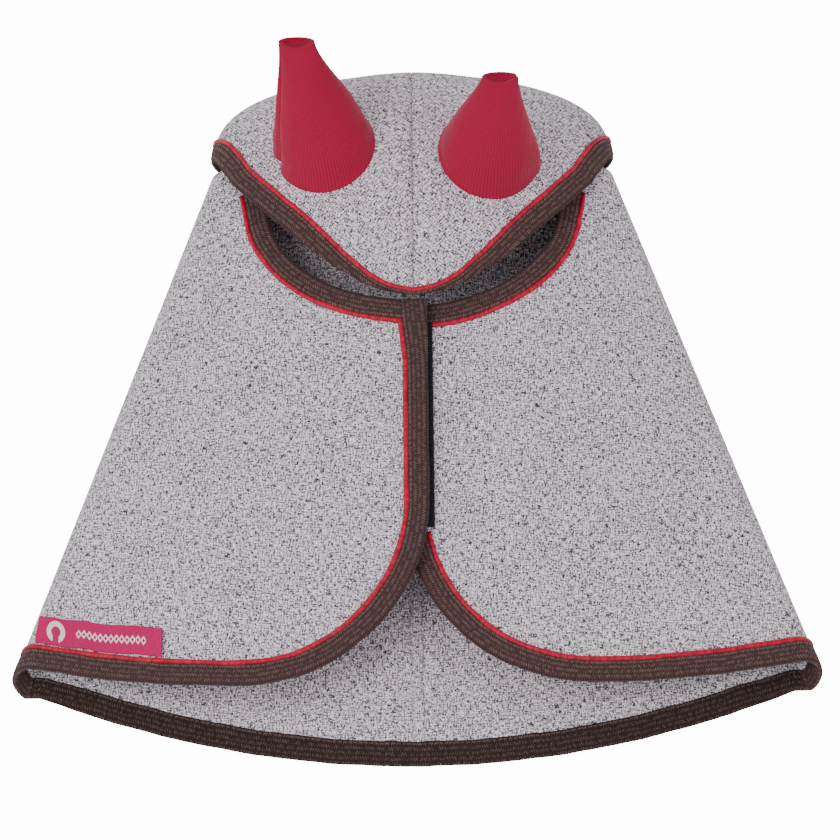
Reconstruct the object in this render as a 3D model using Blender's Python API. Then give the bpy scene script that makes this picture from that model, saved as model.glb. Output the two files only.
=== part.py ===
"""Hooded fly sheet for a toy horse, laid on its back with the front closed.

The cape is a flattened cone: an under layer on the ground, a round fold down each side and
two front flaps on top that lap over each other. The hood is a shallow dome with two ears,
and its forehead hangs free over the neck opening. Metres, +Z up, hem towards -Y, hood
towards +Y, left at -X. Lengths along Y are measured from the middle of the back hem and
shifted at the end, so that the origin is the centre of the base.
"""

import math

import bmesh
import bpy
import numpy as np
from mathutils import Vector
from mathutils.geometry import delaunay_2d_cdt

# Outline of the laid sheet
HEM_HALF = 0.2342
HEM_RISE = 0.057
SHOULDER_HALF = 0.125
SHOULDER_Y = 0.373
POLL_Y = 0.4415
POLL_ROUND = 1.9
POLL_SQUARE = 3.15
POLL_END_HALF = 0.1145

# Cloth and trimmings
CLOTH = 0.0016
GAP = 0.0005
TAPE = 0.0012
TAPE_WIDTH = 0.0125
PIPING_WIDTH = 0.003
PIPING_HEIGHT = 0.0012
SEAM_WIDTH = 0.007
SEAM_TAPE = 0.0008
SEAM_DROP = 0.0022
CENTRE_GAP = 0.0003

# Heights of the laid layers
FOLD = 0.012
HEM_SWELL = 0.013
NECK_SWELL = 0.024
SWELL_REACH = 0.130
HOOD_FOLD = FOLD + 0.0026
DOME = 0.041
DOME_FALL = 0.39
DOME_Y = SHOULDER_Y - 0.006
HEM_EASE = 0.030

# Front flaps
FRONT_HEM_Y = 0.040
CORNER_RADIUS = 0.110
LAP_HALF = 0.008
LAP_EASE = 0.060
FASTENER = 0.0010
FASTENER_WIDTH = 0.019
FASTENER_LENGTH = 0.128
FASTENER_FROM_NECK = 0.012
NECK_HALF = 0.089
NECK_DEPTH = 0.0675
NECK_CENTRE_Y = SHOULDER_Y - 0.031

# Forehead of the hood: a V with a round tip
TIP_GAP = 0.0014
V_SLOPE = 1.5
V_ROUND = 0.135
TIP_TURN = 0.0085
TIP_TURN_REACH = 0.080
CORNER_Y = SHOULDER_Y + 0.010
NAPE_GAP = 0.0034
FOLD_STEPS = 7
CORNER_TAPE_STEPS = 5

# Hinge lines
FLAP_CUT = 0.0013
HINGE_LIFT = 0.0006
HINGE_TOP_X = 0.104

# Ears
EAR_SPOT = {
    "left": (-0.053, SHOULDER_Y - 0.003),
    "right": (0.046, SHOULDER_Y - 0.009),
}
EAR_RADIUS = 0.029
EAR_HOLE_GAP = 0.0016
EAR_HEIGHT = 0.074
EAR_TIP_HALF = 0.0125
EAR_TIP_DEPTH = 0.0042
EAR_WALL = 0.0016
EAR_OUTWARD = 0.011
EAR_BACK = {"left": 0.033, "right": 0.014}
BROW_GAP = 0.002
BROW_Y = min(y for x, y in EAR_SPOT.values()) - EAR_RADIUS - BROW_GAP

# Woven label on the left flap
LABEL_LENGTH = 0.075
LABEL_WIDTH = 0.017
LABEL_THICKNESS = 0.0005
LABEL_END = 0.008
LABEL_GAP = 0.0007

SHARP_ANGLE = math.radians(40)

SIDES = {"left": -1, "right": 1}
HALF_STACK = CLOTH / 2 + GAP + TAPE
LAP_STEP = 2 * HALF_STACK + 2 * FASTENER + 3.2 * GAP
CENTRE_Y = (POLL_Y + CLOTH / 2) / 2
NECK_Y = NECK_CENTRE_Y - NECK_DEPTH
TIP_Y = NECK_Y + TIP_GAP
CLOTH_INSET = TAPE + GAP
PIPING_INSET = TAPE_WIDTH + 1.5 * GAP + PIPING_WIDTH / 2

GREY = ("grey_melange", (0.42, 0.39, 0.42), 0.9)
BROWN = ("brown_tape", (0.045, 0.026, 0.022), 0.85)
RED_SATIN = ("red_satin", (0.56, 0.012, 0.045), 0.4)
CRIMSON = ("crimson_rib", (0.36, 0.008, 0.028), 0.85)
NAVY = ("navy_fastener", (0.012, 0.014, 0.028), 0.9)
MAGENTA = ("magenta_label", (0.58, 0.02, 0.20), 0.6)


# ---------------------------------------------------------------- shape of the laid cloth


def smooth(value):
    """Eases from 0 to 1 as value goes from 0 to 1."""
    v = min(1.0, max(0.0, value))
    return v * v * (3 - 2 * v)


def half_width(y):
    """Half the width of the laid outline at y: the cape's sides, then the hood's."""
    if y <= SHOULDER_Y:
        share = (y - HEM_RISE) / (SHOULDER_Y - HEM_RISE)
        return HEM_HALF + (SHOULDER_HALF - HEM_HALF) * share
    share = min(0.98, (y - SHOULDER_Y) / (POLL_Y - SHOULDER_Y))
    return SHOULDER_HALF * (1 - share**POLL_SQUARE) ** (1 / POLL_ROUND)


def poll_y(x):
    """The hood's top edge, a square-shouldered arch over the poll."""
    share = (abs(x) / SHOULDER_HALF) ** POLL_ROUND
    return SHOULDER_Y + (POLL_Y - SHOULDER_Y) * (1 - share) ** (1 / POLL_SQUARE)


def swell(x, y):
    """How far the front layer rises above the side fold, from the distance to that fold."""
    most = HEM_SWELL + (NECK_SWELL - HEM_SWELL) * max(0.0, y) / SHOULDER_Y
    share = min(1.0, max(0.0, half_width(y) - abs(x)) / SWELL_REACH)
    return most * (1 - (1 - share) ** 2)


def fold_share(distance):
    """Height share of the round fold at a distance inside the outline."""
    inside = min(1.0, max(0.0, distance) / FOLD)
    return math.sqrt(max(0.0, 1 - (1 - inside) ** 2))


def front_z(x, y):
    """Middle of the front layer's cloth, before the flaps lap."""
    return CLOTH / 2 + FOLD * (1 + fold_share(half_width(y) - abs(x))) + swell(x, y)


def flap_z(side):
    """Height function of one flap: the left one steps up over the right one."""

    def height(x, y):
        own = SIDES[side] * x
        share = smooth((LAP_EASE + 2 * LAP_HALF - own) / LAP_EASE)
        return front_z(x, y) - SIDES[side] * share * LAP_STEP / 2

    return height


def dome(x, y):
    """How far the hood rises above its side folds: a dome that falls towards its tip."""
    reach = (DOME_Y - y) / (DOME_Y - TIP_Y)
    along = 1 - DOME_FALL * max(0.0, reach) ** 2
    across = 1 - (x / half_width(y)) ** 2
    past = max(0.0, (y - DOME_Y) / max(1e-6, poll_y(x) - DOME_Y))
    return DOME * along * max(0.0, across) * max(0.0, 1 - past * past)


def hood_z(x, y):
    """Middle of the hood's upper cloth, away from its folds."""
    return CLOTH / 2 + 2 * HOOD_FOLD + dome(x, y)


def front_hem_y(u):
    """The front hem's finished edge at the distance u from the middle."""
    start = CORNER_RADIUS - LAP_HALF
    share = max(0.0, (u - start) / (HEM_HALF - start))
    return FRONT_HEM_Y + (HEM_RISE - FRONT_HEM_Y) * share**2


def v_edge(x):
    """The forehead's finished edge: a hyperbola, round at the tip and straight further out."""
    return TIP_Y + math.hypot(V_SLOPE * x, V_ROUND) - V_ROUND


def v_rise(x):
    """The slope of the forehead's edge."""
    return V_SLOPE**2 * x / math.hypot(V_SLOPE * x, V_ROUND)


def v_turned(x):
    """How much of the V's tape is turned under: most at the tip, nothing further out."""
    return TIP_TURN * (1 - smooth(abs(x) / TIP_TURN_REACH))


def v_inward(x):
    """Unit direction from the V's edge into the forehead."""
    return Vector((-v_rise(x), 1.0)).normalized()


# ---------------------------------------------------------------- outlines, as (u, y) points
# u runs outwards from the middle on the piece's own side, so that both sides share them.

HINGE_FOOT = Vector((HEM_HALF - FOLD - 0.001, front_hem_y(HEM_HALF - FOLD - 0.001)))
HINGE_HEAD = Vector((HINGE_TOP_X, v_edge(HINGE_TOP_X)))
HINGE_WAY = (HINGE_HEAD - HINGE_FOOT).normalized()
HINGE_INWARD = Vector((-HINGE_WAY.y, HINGE_WAY.x))


def hinge_u(y, inward=0.0):
    """u on the flap's hinge line at y, moved inward by a distance square to the line."""
    start = HINGE_FOOT + HINGE_INWARD * inward
    return start.x + (y - start.y) * HINGE_WAY.x / HINGE_WAY.y


def front_edge(inset, top_inset=0.0, hem_steps=9, corner_steps=9, placket_steps=7):
    """The flap's edge from its hinge along the hem, round the corner and up the placket."""
    radius = CORNER_RADIUS
    centre = Vector((radius - LAP_HALF, FRONT_HEM_Y + radius))
    foot = hinge_u(HINGE_FOOT.y + inset, FLAP_CUT)
    hem = [
        (u, front_hem_y(u) + inset) for u in np.linspace(foot, centre.x, hem_steps + 1)
    ]
    angles = np.linspace(math.pi / 2, 0, corner_steps + 1)[1:]
    reach = radius - inset
    corner = [
        (centre.x - reach * math.cos(a), centre.y - reach * math.sin(a)) for a in angles
    ]
    top = neck_y(-LAP_HALF + inset, top_inset)
    placket = [
        (-LAP_HALF + inset, y) for y in np.linspace(centre.y, top, placket_steps + 1)[1:]
    ]
    return hem + corner + placket


def neck_y(u, inset=0.0):
    """The neck opening's edge at u: the lower half of an ellipse grown by inset."""
    across = u / (NECK_HALF + inset)
    return NECK_CENTRE_Y - (NECK_DEPTH + inset) * math.sqrt(max(0.0, 1 - across**2))


def neck_end_angle():
    """The ellipse's angle where the neck's edge passes under the forehead, by halving."""
    low, high = 0.2 * NECK_HALF, NECK_HALF
    for _ in range(40):
        middle = (low + high) / 2
        clear = neck_y(middle) < v_edge(middle) - 2 * FLAP_CUT
        low, high = (middle, high) if clear else (low, middle)
    return math.asin(low / NECK_HALF)


def neck_edge(inset, start_u, steps=20):
    """The neck's edge from start_u outwards, spaced by the ellipse's angle."""
    wide = NECK_HALF + inset
    angles = np.linspace(math.asin(start_u / wide), neck_end_angle(), steps + 1)
    return [(wide * math.sin(a), neck_y(wide * math.sin(a), inset)) for a in angles]


def flap_outline():
    """The flap's cloth: inside its bindings, and clear of the hinge and the forehead."""
    edge = front_edge(CLOTH_INSET)
    edge[-1] = (edge[-1][0], neck_y(edge[-1][0], CLOTH_INSET))
    neck = neck_curve(CLOTH_INSET)
    head_y = v_edge(HINGE_HEAD.x) - 3 * FLAP_CUT
    under_v = [(hinge_u(head_y, FLAP_CUT) - 0.001, head_y)]
    hinge = [
        (hinge_u(y, FLAP_CUT), y)
        for y in np.linspace(head_y - 0.004, edge[0][1], 12)[:-1]
    ]
    return edge + neck + under_v + hinge


def forehead_half_outline():
    """Half of the forehead's cloth, from the tip's middle out to the brow line."""
    xs = v_stations(0.0, BROW_Y - FLAP_CUT, CLOTH_INSET)
    edge = [v_point(x, CLOTH_INSET) for x in xs]
    edge[0] = (CENTRE_GAP / 2, edge[0][1])
    brow = [(u, BROW_Y - FLAP_CUT) for u in np.linspace(edge[-1][0], CENTRE_GAP / 2, 6)]
    return edge + brow[1:]


def v_point(x, inset):
    """A point at a distance inside the forehead's edge, less what is turned under there."""
    seen = inset - v_turned(x) if inset > CLOTH_INSET else inset
    point = Vector((x, v_edge(x))) + v_inward(x) * seen
    return (point.x, point.y)


def v_stations(start, top_y, inset, steps=11):
    """Places along the V from start to where its inset line reaches top_y."""
    low, high = start, 2 * SHOULDER_HALF
    for _ in range(40):
        middle = (low + high) / 2
        low, high = (middle, high) if v_point(middle, inset)[1] < top_y else (low, middle)
    return np.linspace(start, low, steps + 1)


# ---------------------------------------------------------------- making objects


def clear_scene():
    for old in list(bpy.data.objects):
        bpy.data.objects.remove(old)


def material(kind):
    """One Principled material for each finish."""
    name, colour, roughness = kind
    found = bpy.data.materials.get(name)
    if found:
        return found
    made = bpy.data.materials.new(name)
    made.use_nodes = True
    shader = made.node_tree.nodes["Principled BSDF"]
    shader.inputs["Base Color"].default_value = (*colour, 1.0)
    shader.inputs["Roughness"].default_value = roughness
    shader.inputs["Metallic"].default_value = 0.0
    return made


def finish(name, builder, kind, parent=None):
    """Turns a bmesh into a named object, shifted onto the part's own origin."""
    bmesh.ops.remove_doubles(builder, verts=builder.verts, dist=1e-7)
    bmesh.ops.recalc_face_normals(builder, faces=builder.faces)
    bmesh.ops.translate(builder, verts=builder.verts, vec=(0, -CENTRE_Y, 0))
    mesh = bpy.data.meshes.new(name)
    builder.to_mesh(mesh)
    builder.free()
    mesh.shade_smooth()
    mesh.set_sharp_from_angle(angle=SHARP_ANGLE)
    mesh.materials.append(material(kind))
    obj = bpy.data.objects.new(name, mesh)
    bpy.context.scene.collection.objects.link(obj)
    if parent:
        obj.parent = parent
        obj.location = -parent.location
    return obj


def hinge_empty(name, point):
    """An empty on a joint's axis, which its body's pieces are parented to."""
    empty = bpy.data.objects.new(name, None)
    empty.location = (point[0], point[1] - CENTRE_Y, point[2])
    bpy.context.scene.collection.objects.link(empty)
    return empty


def inside(point, outline):
    """Whether a point lies in a closed outline."""
    x, y = point
    found = False
    for (ax, ay), (bx, by) in zip(outline, outline[1:] + outline[:1]):
        if (ay > y) != (by > y) and x < (bx - ax) * (y - ay) / (by - ay) + ax:
            found = not found
    return found


def filling(made, outline, spacing):
    """A triangular grid of points inside an outline, clear of the points already made."""
    points = np.array(made)
    low, high = points.min(0), points.max(0)
    found = []
    for row, y in enumerate(np.arange(low[1] + spacing / 2, high[1], spacing * 0.87)):
        for x in np.arange(low[0] + spacing * (0.25 + 0.5 * (row % 2)), high[0], spacing):
            near = np.hypot(points[:, 0] - x, points[:, 1] - y).min()
            if near > spacing * 0.55 and inside((x, y), outline):
                found.append((x, y))
    return found


def laid_cloth(name, outline, lines, side, height, kind, parent=None, spacing=0.026):
    """A thin sheet over an outline in plan, with edges along the given lines inside it."""
    sign = SIDES[side]
    points = list(outline)
    edges = [(i, (i + 1) % len(points)) for i in range(len(points))]
    for line in lines:
        within = [p for p in line if inside(p, outline)]
        edges += [(len(points) + i, len(points) + i + 1) for i in range(len(within) - 1)]
        points += within
    points += filling(points, outline, spacing)
    rim = [Vector((sign * u, y)) for u, y in points]
    spots, _, faces, *_ = delaunay_2d_cdt(rim, edges, [], 1, 1e-6)
    builder = bmesh.new()
    layers = []
    for offset in (CLOTH / 2, -CLOTH / 2):
        layers.append(
            [builder.verts.new((p.x, p.y, height(p.x, p.y) + offset)) for p in spots]
        )
    for face in faces:
        for layer in layers:
            builder.faces.new([layer[i] for i in face])
    uses = {}
    for face in faces:
        for a, b in zip(face, face[1:] + face[:1]):
            key = (min(a, b), max(a, b))
            uses[key] = uses.get(key, 0) + 1
    for (a, b), count in uses.items():
        if count == 1:
            builder.faces.new([layers[0][a], layers[0][b], layers[1][b], layers[1][a]])
    return finish(name, builder, kind, parent)


def grid_normals(points):
    """Unit normals of a grid of points, from its rows and columns."""
    across = np.gradient(points, axis=0)
    along = np.gradient(points, axis=1)
    normals = np.cross(across, along)
    return normals / np.linalg.norm(normals, axis=2, keepdims=True)


def curved_cloth(name, middle, thickness, kind, parent=None):
    """A closed sheet of a thickness about a grid of points."""
    normals = grid_normals(middle)
    builder = bmesh.new()
    rows, columns = middle.shape[:2]
    layers = []
    for offset in (thickness / 2, -thickness / 2):
        moved = middle + normals * offset
        layers.append([[builder.verts.new(p) for p in row] for row in moved])
    for layer in layers:
        for i in range(rows - 1):
            for j in range(columns - 1):
                builder.faces.new(
                    [layer[i][j], layer[i + 1][j], layer[i + 1][j + 1], layer[i][j + 1]]
                )
    around = [(i, 0) for i in range(rows)]
    around += [(rows - 1, j) for j in range(1, columns)]
    around += [(i, columns - 1) for i in range(rows - 2, -1, -1)]
    around += [(0, j) for j in range(columns - 2, 0, -1)]
    for (a, b), (c, d) in zip(around, around[1:] + around[:1]):
        builder.faces.new([layers[0][a][b], layers[0][c][d], layers[1][c][d], layers[1][a][b]])
    return finish(name, builder, kind, parent)


def swept(name, rings, kind, parent=None):
    """A solid through a row of closed rings, with both ends capped."""
    builder = bmesh.new()
    made = [[builder.verts.new(p) for p in ring] for ring in rings]
    for first, second in zip(made, made[1:]):
        for i in range(len(first)):
            j = (i + 1) % len(first)
            builder.faces.new([first[i], first[j], second[j], second[i]])
    builder.faces.new(made[0])
    builder.faces.new(made[-1])
    return finish(name, builder, kind, parent)


def tape_rings(outer, web, inner, normals):
    """Rings of a tape folded over a cloth's edge: two legs joined by a web at the edge."""
    near = CLOTH / 2 + GAP
    far = near + TAPE
    rings = []
    for o, w, i, (edge_n, inner_n) in zip(outer, web, inner, normals):
        rings.append(
            [
                i + inner_n * far,
                o + edge_n * far,
                o - edge_n * far,
                i - inner_n * far,
                i - inner_n * near,
                w - edge_n * near,
                w + edge_n * near,
                i + inner_n * near,
            ]
        )
    return rings


def piping_rings(middle, across, normals):
    """Rings of the flat piping on the cloth's outer face."""
    low = CLOTH / 2 + GAP
    high = low + PIPING_HEIGHT
    half = PIPING_WIDTH / 2
    rings = []
    for m, a, n in zip(middle, across, normals):
        rings.append(
            [
                m - a * half + n * low,
                m - a * half + n * (low + 0.6 * PIPING_HEIGHT),
                m + n * high,
                m + a * half + n * (low + 0.6 * PIPING_HEIGHT),
                m + a * half + n * low,
            ]
        )
    return rings


def raised(points, side, height):
    """Plan points of one side as points on a height function."""
    sign = SIDES[side]
    return [Vector((sign * u, y, height(sign * u, y))) for u, y in points]


UP = Vector((0, 0, 1))


def laid_tape(name, curve, side, height, parent=None):
    """A folded tape along a family of plan curves, curve(inset)."""
    outer, web, inner = (
        raised(curve(inset), side, height) for inset in (0.0, TAPE, TAPE_WIDTH)
    )
    return swept(name, tape_rings(outer, web, inner, [(UP, UP)] * len(outer)), BROWN, parent)


def laid_piping(name, curve, side, height, parent=None):
    """Piping beside a tape's inner edge along curve(inset)."""
    middle = raised(curve(PIPING_INSET), side, height)
    ahead = raised(curve(PIPING_INSET + 0.001), side, height)
    across = [(b - a).normalized() for a, b in zip(middle, ahead)]
    return swept(name, piping_rings(middle, across, [UP] * len(middle)), RED_SATIN, parent)


# ---------------------------------------------------------------- the cape's back


def hem_lift(inset):
    """The under layer rises near the hem to leave room for the trimmings below it."""
    share = smooth((HEM_EASE + PIPING_INSET + PIPING_WIDTH - inset) / HEM_EASE)
    return (GAP + max(TAPE, PIPING_HEIGHT)) * share


def back_path(side, steps_under=7, steps_top=2):
    """Places across the cape's back at the hem, as (kind, share), from middle to hinge."""
    start = CENTRE_GAP / 2 / HEM_HALF if side else 0.0
    path = [("under", s) for s in np.linspace(start, 1, steps_under + 1)]
    path += [("fold", s) for s in np.linspace(0, 1, FOLD_STEPS + 1)[1:]]
    path += [("top", s) for s in np.linspace(0, 1, steps_top + 1)[1:]]
    return path


def back_point(side, place, inset):
    """A point on the cape's back: under layer, side fold or the strip up to the hinge."""
    kind, share = place
    along = inset / SHOULDER_Y
    side_y = HEM_RISE + along * (SHOULDER_Y - HEM_RISE)
    wide = half_width(side_y)
    if kind == "under":
        u = share * (wide - FOLD)
        y = inset + (side_y - inset) * (u / (wide - FOLD)) ** 2
        return Vector((SIDES[side] * u, y, CLOTH / 2 + hem_lift(inset)))
    start = wide - FOLD
    dip = (front_hem_y(start) - HEM_RISE) * (1 - along)
    if kind == "fold":
        turn = share * math.pi
        u = start + FOLD * math.sin(turn)
        lift = hem_lift(inset) * (1 - share)
        rise = swell(u, side_y) if turn > math.pi / 2 else 0.0
        z = CLOTH / 2 + FOLD * (1 - math.cos(turn)) + rise + lift
        return Vector((SIDES[side] * u, side_y + dip * share, z))
    y = side_y + dip
    u = start + (min(hinge_u(y, -FLAP_CUT), start - 0.0008) - start) * share
    return Vector((SIDES[side] * u, y, front_z(u, y)))


def back_insets():
    """Distances from the hem, with rows at the tape's two edges, up to the nape seam."""
    rows = [CLOTH_INSET, TAPE_WIDTH, PIPING_INSET + PIPING_WIDTH]
    rows += [rows[-1] + HEM_EASE / 2, rows[-1] + HEM_EASE]
    return rows + list(np.linspace(rows[-1], SHOULDER_Y - GAP, 11)[1:])


def back_panel(side):
    """One half of the cape's back with its side fold, in one piece of cloth."""
    grid = [[back_point(side, place, d) for d in back_insets()] for place in back_path(side)]
    return curved_cloth(f"{side}_back_panel", np.array(grid), CLOTH, GREY)


def hem_stations():
    """Places along the whole back hem, from the left hinge round to the right one."""
    left = [("left", place) for place in reversed(back_path(None))]
    return left + [("right", place) for place in back_path(None)[1:]]


def hem_frame(inset):
    """Points and outward normals along the back hem at a distance from its edge."""
    points = [back_point(side, place, inset) for side, place in hem_stations()]
    ahead = [back_point(side, place, inset + 0.001) for side, place in hem_stations()]
    normals = []
    across = []
    for i, (point, next_in) in enumerate(zip(points, ahead)):
        before, after = points[max(0, i - 1)], points[min(len(points) - 1, i + 1)]
        inward = (next_in - point).normalized()
        normals.append(inward.cross(after - before).normalized())
        across.append(inward)
    return points, normals, across


def back_hem_tape():
    """The tape folded over the back hem and round both side folds."""
    outer, edge_n, _ = hem_frame(0.0)
    web, _, _ = hem_frame(TAPE)
    inner, inner_n, _ = hem_frame(TAPE_WIDTH)
    rings = tape_rings(outer, web, inner, list(zip(edge_n, inner_n)))
    return swept("back_hem_binding", rings, BROWN)


def back_hem_piping():
    """The piping on the outer face of the back hem."""
    middle, normals, across = hem_frame(PIPING_INSET)
    return swept("back_hem_piping", piping_rings(middle, across, normals), RED_SATIN)


def strip_rings(path, width, low, high):
    """Rings of a flat strip across X along a path of (y, z) points."""
    half = width / 2
    rings = []
    for i, (y, z) in enumerate(path):
        before, after = path[max(0, i - 1)], path[min(len(path) - 1, i + 1)]
        way = Vector((0, after[0] - before[0], after[1] - before[1])).normalized()
        up = Vector((1, 0, 0)).cross(way)
        here = Vector((0, y, z))
        rings.append(
            [
                here + Vector((x, 0, 0)) + up * lift
                for x, lift in ((-half, low), (half, low), (half, high), (-half, high))
            ]
        )
    return rings


def back_seam():
    """The seam allowance inside the middle of the back."""
    low = CLOTH / 2 + GAP
    ys = [TAPE_WIDTH + 2 * GAP] + back_insets()[2:5] + [SHOULDER_Y - 0.002]
    path = [(y, CLOTH / 2 + hem_lift(y)) for y in ys]
    return swept(
        "back_seam_allowance", strip_rings(path, SEAM_WIDTH, low, low + SEAM_TAPE), GREY
    )


# ---------------------------------------------------------------- the hood


def face_edge(a):
    """The hood's finished edge at the width a past the start of its side fold, and its slope.

    On top the edge is the V. Round the fold it rises to the corner and falls to the nape.
    """
    start = SHOULDER_HALF - HOOD_FOLD
    if a <= 0:
        x = start + a
        return v_edge(x), v_rise(x)
    turn = min(a / HOOD_FOLD, math.pi)
    low = v_edge(start) if turn < math.pi / 2 else SHOULDER_Y + NAPE_GAP
    rise = CORNER_Y - low
    return low + rise * math.sin(turn), rise * math.cos(turn) / HOOD_FOLD


def face_point(a, inset):
    """A point on the hood's cloth at a distance inside its edge, top and side fold alike."""
    y, slope = face_edge(a)
    way = Vector((-slope, 1.0)).normalized()
    seen = inset
    if inset > CLOTH_INSET and a < 0:
        seen -= v_turned(SHOULDER_HALF - HOOD_FOLD + a)
    across, y = a + way.x * seen, y + way.y * seen
    start = half_width(max(y, SHOULDER_Y)) - HOOD_FOLD
    if across <= 0:
        return Vector((start + across, y, hood_z(start + across, y)))
    turn = min(across / HOOD_FOLD, math.pi)
    x = start + HOOD_FOLD * math.sin(turn)
    rise = dome(x, y) if turn < math.pi / 2 else 0.0
    return Vector((x, y, CLOTH / 2 + HOOD_FOLD * (1 + math.cos(turn)) + rise))


def brow_a(inset):
    """Where the V at an inset meets the brow line, as a width past the fold's start."""
    low, high = 0.3 * SHOULDER_HALF, SHOULDER_HALF - HOOD_FOLD
    for _ in range(40):
        middle = (low + high) / 2
        under = v_point(middle, inset)[1] < BROW_Y + FLAP_CUT
        low, high = (middle, high) if under else (low, middle)
    return low - (SHOULDER_HALF - HOOD_FOLD)


def face_line(inset, nape_x, steps_under=2, steps_top=7):
    """A line over the hood beside its edge, from the nape round the fold to the brow."""
    turns = np.linspace(math.pi, 0, FOLD_STEPS + 1) * HOOD_FOLD
    round_fold = [face_point(a, inset) for a in turns]
    nape = Vector((nape_x, SHOULDER_Y + 2 * GAP, CLOTH / 2))
    foot = Vector((*round_fold[0].xy, CLOTH / 2))
    under = [nape.lerp(foot, share) for share in np.linspace(0, 1, steps_under + 1)[:-1]]
    top = [face_point(a, inset) for a in np.linspace(0, brow_a(inset), steps_top + 1)[1:]]
    return under + round_fold + top


def hood_line(rim, nape, end, bow, steps_under=2, steps_top=7):
    """A line over the hood, bowed on top by the plan offsets in bow."""
    rim, nape, end = Vector(rim), Vector(nape), Vector(end)
    under_way = (nape - rim).normalized()
    top_way = (end - rim).normalized()
    under = [nape.lerp(rim + under_way * HOOD_FOLD, i / steps_under) for i in range(steps_under)]
    points = [Vector((*spot, CLOTH / 2)) for spot in under]
    for share in np.linspace(0, 1, FOLD_STEPS + 1):
        turn = share * math.pi
        way = under_way if turn < math.pi / 2 else top_way
        spot = rim + way * HOOD_FOLD * (1 - math.sin(turn))
        rise = dome(spot.x, spot.y) if turn > math.pi / 2 else 0.0
        points.append(
            Vector((*spot, CLOTH / 2 + HOOD_FOLD * (1 - math.cos(turn)) + rise))
        )
    start = rim + top_way * HOOD_FOLD
    for share, offset in zip(np.linspace(0, 1, steps_top + 1)[1:], bow[1:]):
        spot = start.lerp(end, share) + offset
        points.append(Vector((*spot, hood_z(spot.x, spot.y))))
    return points


def hood_grid(plain_lines=9, steps_top=7):
    """Lines over half of the hood, from its face edge to its middle."""
    start = SHOULDER_HALF - HOOD_FOLD
    rows = (CLOTH_INSET, TAPE_WIDTH, PIPING_INSET + PIPING_WIDTH)
    napes = (start - 0.003, start - 0.009, start - 0.013)
    lines = [face_line(inset, nape) for inset, nape in zip(rows, napes)]
    first, last = lines[-1][-steps_top - 1].xy, lines[-1][-1].xy
    bows = []
    for i, point in enumerate(lines[-1][-steps_top - 1 :]):
        bows.append(point.xy - first.lerp(last, i / steps_top))
    middle = CENTRE_GAP / 2
    for i in range(1, plain_lines + 1):
        share = i / plain_lines
        rim_x = POLL_END_HALF * (1 - (i - 1) / (plain_lines - 1))
        rim_x += middle * (i - 1) / (plain_lines - 1)
        nape_x = napes[-1] + (middle - napes[-1]) * share
        end_x = last.x + (middle - last.x) * share
        lines.append(
            hood_line(
                (rim_x, poll_y(rim_x)),
                (nape_x, SHOULDER_Y + 2 * GAP),
                (end_x, BROW_Y + FLAP_CUT),
                [bow * (1 - share) ** 2 for bow in bows],
            )
        )
    return lines


def hood_panel(side):
    """Half of the hood: nape, round poll and top, with a hole for the ear."""
    grid = np.array(hood_grid()) * np.array([SIDES[side], 1, 1])
    panel = curved_cloth(f"{side}_hood_panel", grid, CLOTH, GREY)
    cut = panel.modifiers.new("ear_hole", "BOOLEAN")
    cut.operation = "DIFFERENCE"
    cut.solver = "EXACT"
    cut.object = ear_cutter(side)
    return panel


def ear_base(side):
    """The middle of an ear's base, on the hood."""
    x, y = EAR_SPOT[side]
    return Vector((x, y, hood_z(x, y)))


def ear_cutter(side):
    """An upright round cutter for the ear's hole, which leaves the under layer whole."""
    base = ear_base(side)
    builder = bmesh.new()
    bmesh.ops.create_cone(
        builder,
        cap_ends=True,
        segments=24,
        radius1=EAR_RADIUS + EAR_HOLE_GAP,
        radius2=EAR_RADIUS + EAR_HOLE_GAP,
        depth=2 * HOOD_FOLD + DOME,
    )
    bmesh.ops.translate(builder, verts=builder.verts, vec=base)
    cutter = finish(f"{side}_ear_cutter", builder, GREY)
    cutter.hide_render = True
    cutter.display_type = "WIRE"
    return cutter


def shoulder_tape(side):
    """The neck's tape where it runs on, hidden, under the hood's edge."""
    ys = (HINGE_HEAD.y + 0.004, SHOULDER_Y - 2 * GAP)

    def curve(inset):
        return [(hinge_u(y, GAP + TAPE - FLAP_CUT - inset), y) for y in ys]

    return laid_tape(f"{side}_shoulder_binding", curve, side, front_z)


def face_frames(side, inset):
    """Points, normals and inward ways along the hood's edge from the brow to under the fold."""
    tops = np.linspace(brow_a(inset), 0, 8)[:-1]
    turns = np.arange(CORNER_TAPE_STEPS + 1) * math.pi / FOLD_STEPS * HOOD_FOLD
    stations = [*tops, *turns]
    mirror = Vector((SIDES[side], 1, 1))
    points = [face_point(a, inset) * mirror for a in stations]
    ahead = [face_point(a, inset + 0.001) * mirror for a in stations]
    normals = []
    across = []
    for i, (point, next_in) in enumerate(zip(points, ahead)):
        before, after = points[max(0, i - 1)], points[min(len(points) - 1, i + 1)]
        inward = (next_in - point).normalized()
        normals.append((after - before).cross(inward).normalized() * SIDES[side])
        across.append(inward)
    return points, normals, across


def hood_tape(side):
    """The tape along the hood's edge, from the brow line out and round the corner."""
    outer, edge_n, _ = face_frames(side, 0.0)
    web, _, _ = face_frames(side, TAPE)
    inner, inner_n, _ = face_frames(side, TAPE_WIDTH)
    rings = tape_rings(outer, web, inner, list(zip(edge_n, inner_n)))
    return swept(f"{side}_hood_binding", rings, BROWN)


def hood_piping(side):
    """The piping beside the tape on the hood's edge."""
    middle, normals, across = face_frames(side, PIPING_INSET)
    return swept(f"{side}_hood_piping", piping_rings(middle, across, normals), RED_SATIN)


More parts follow.
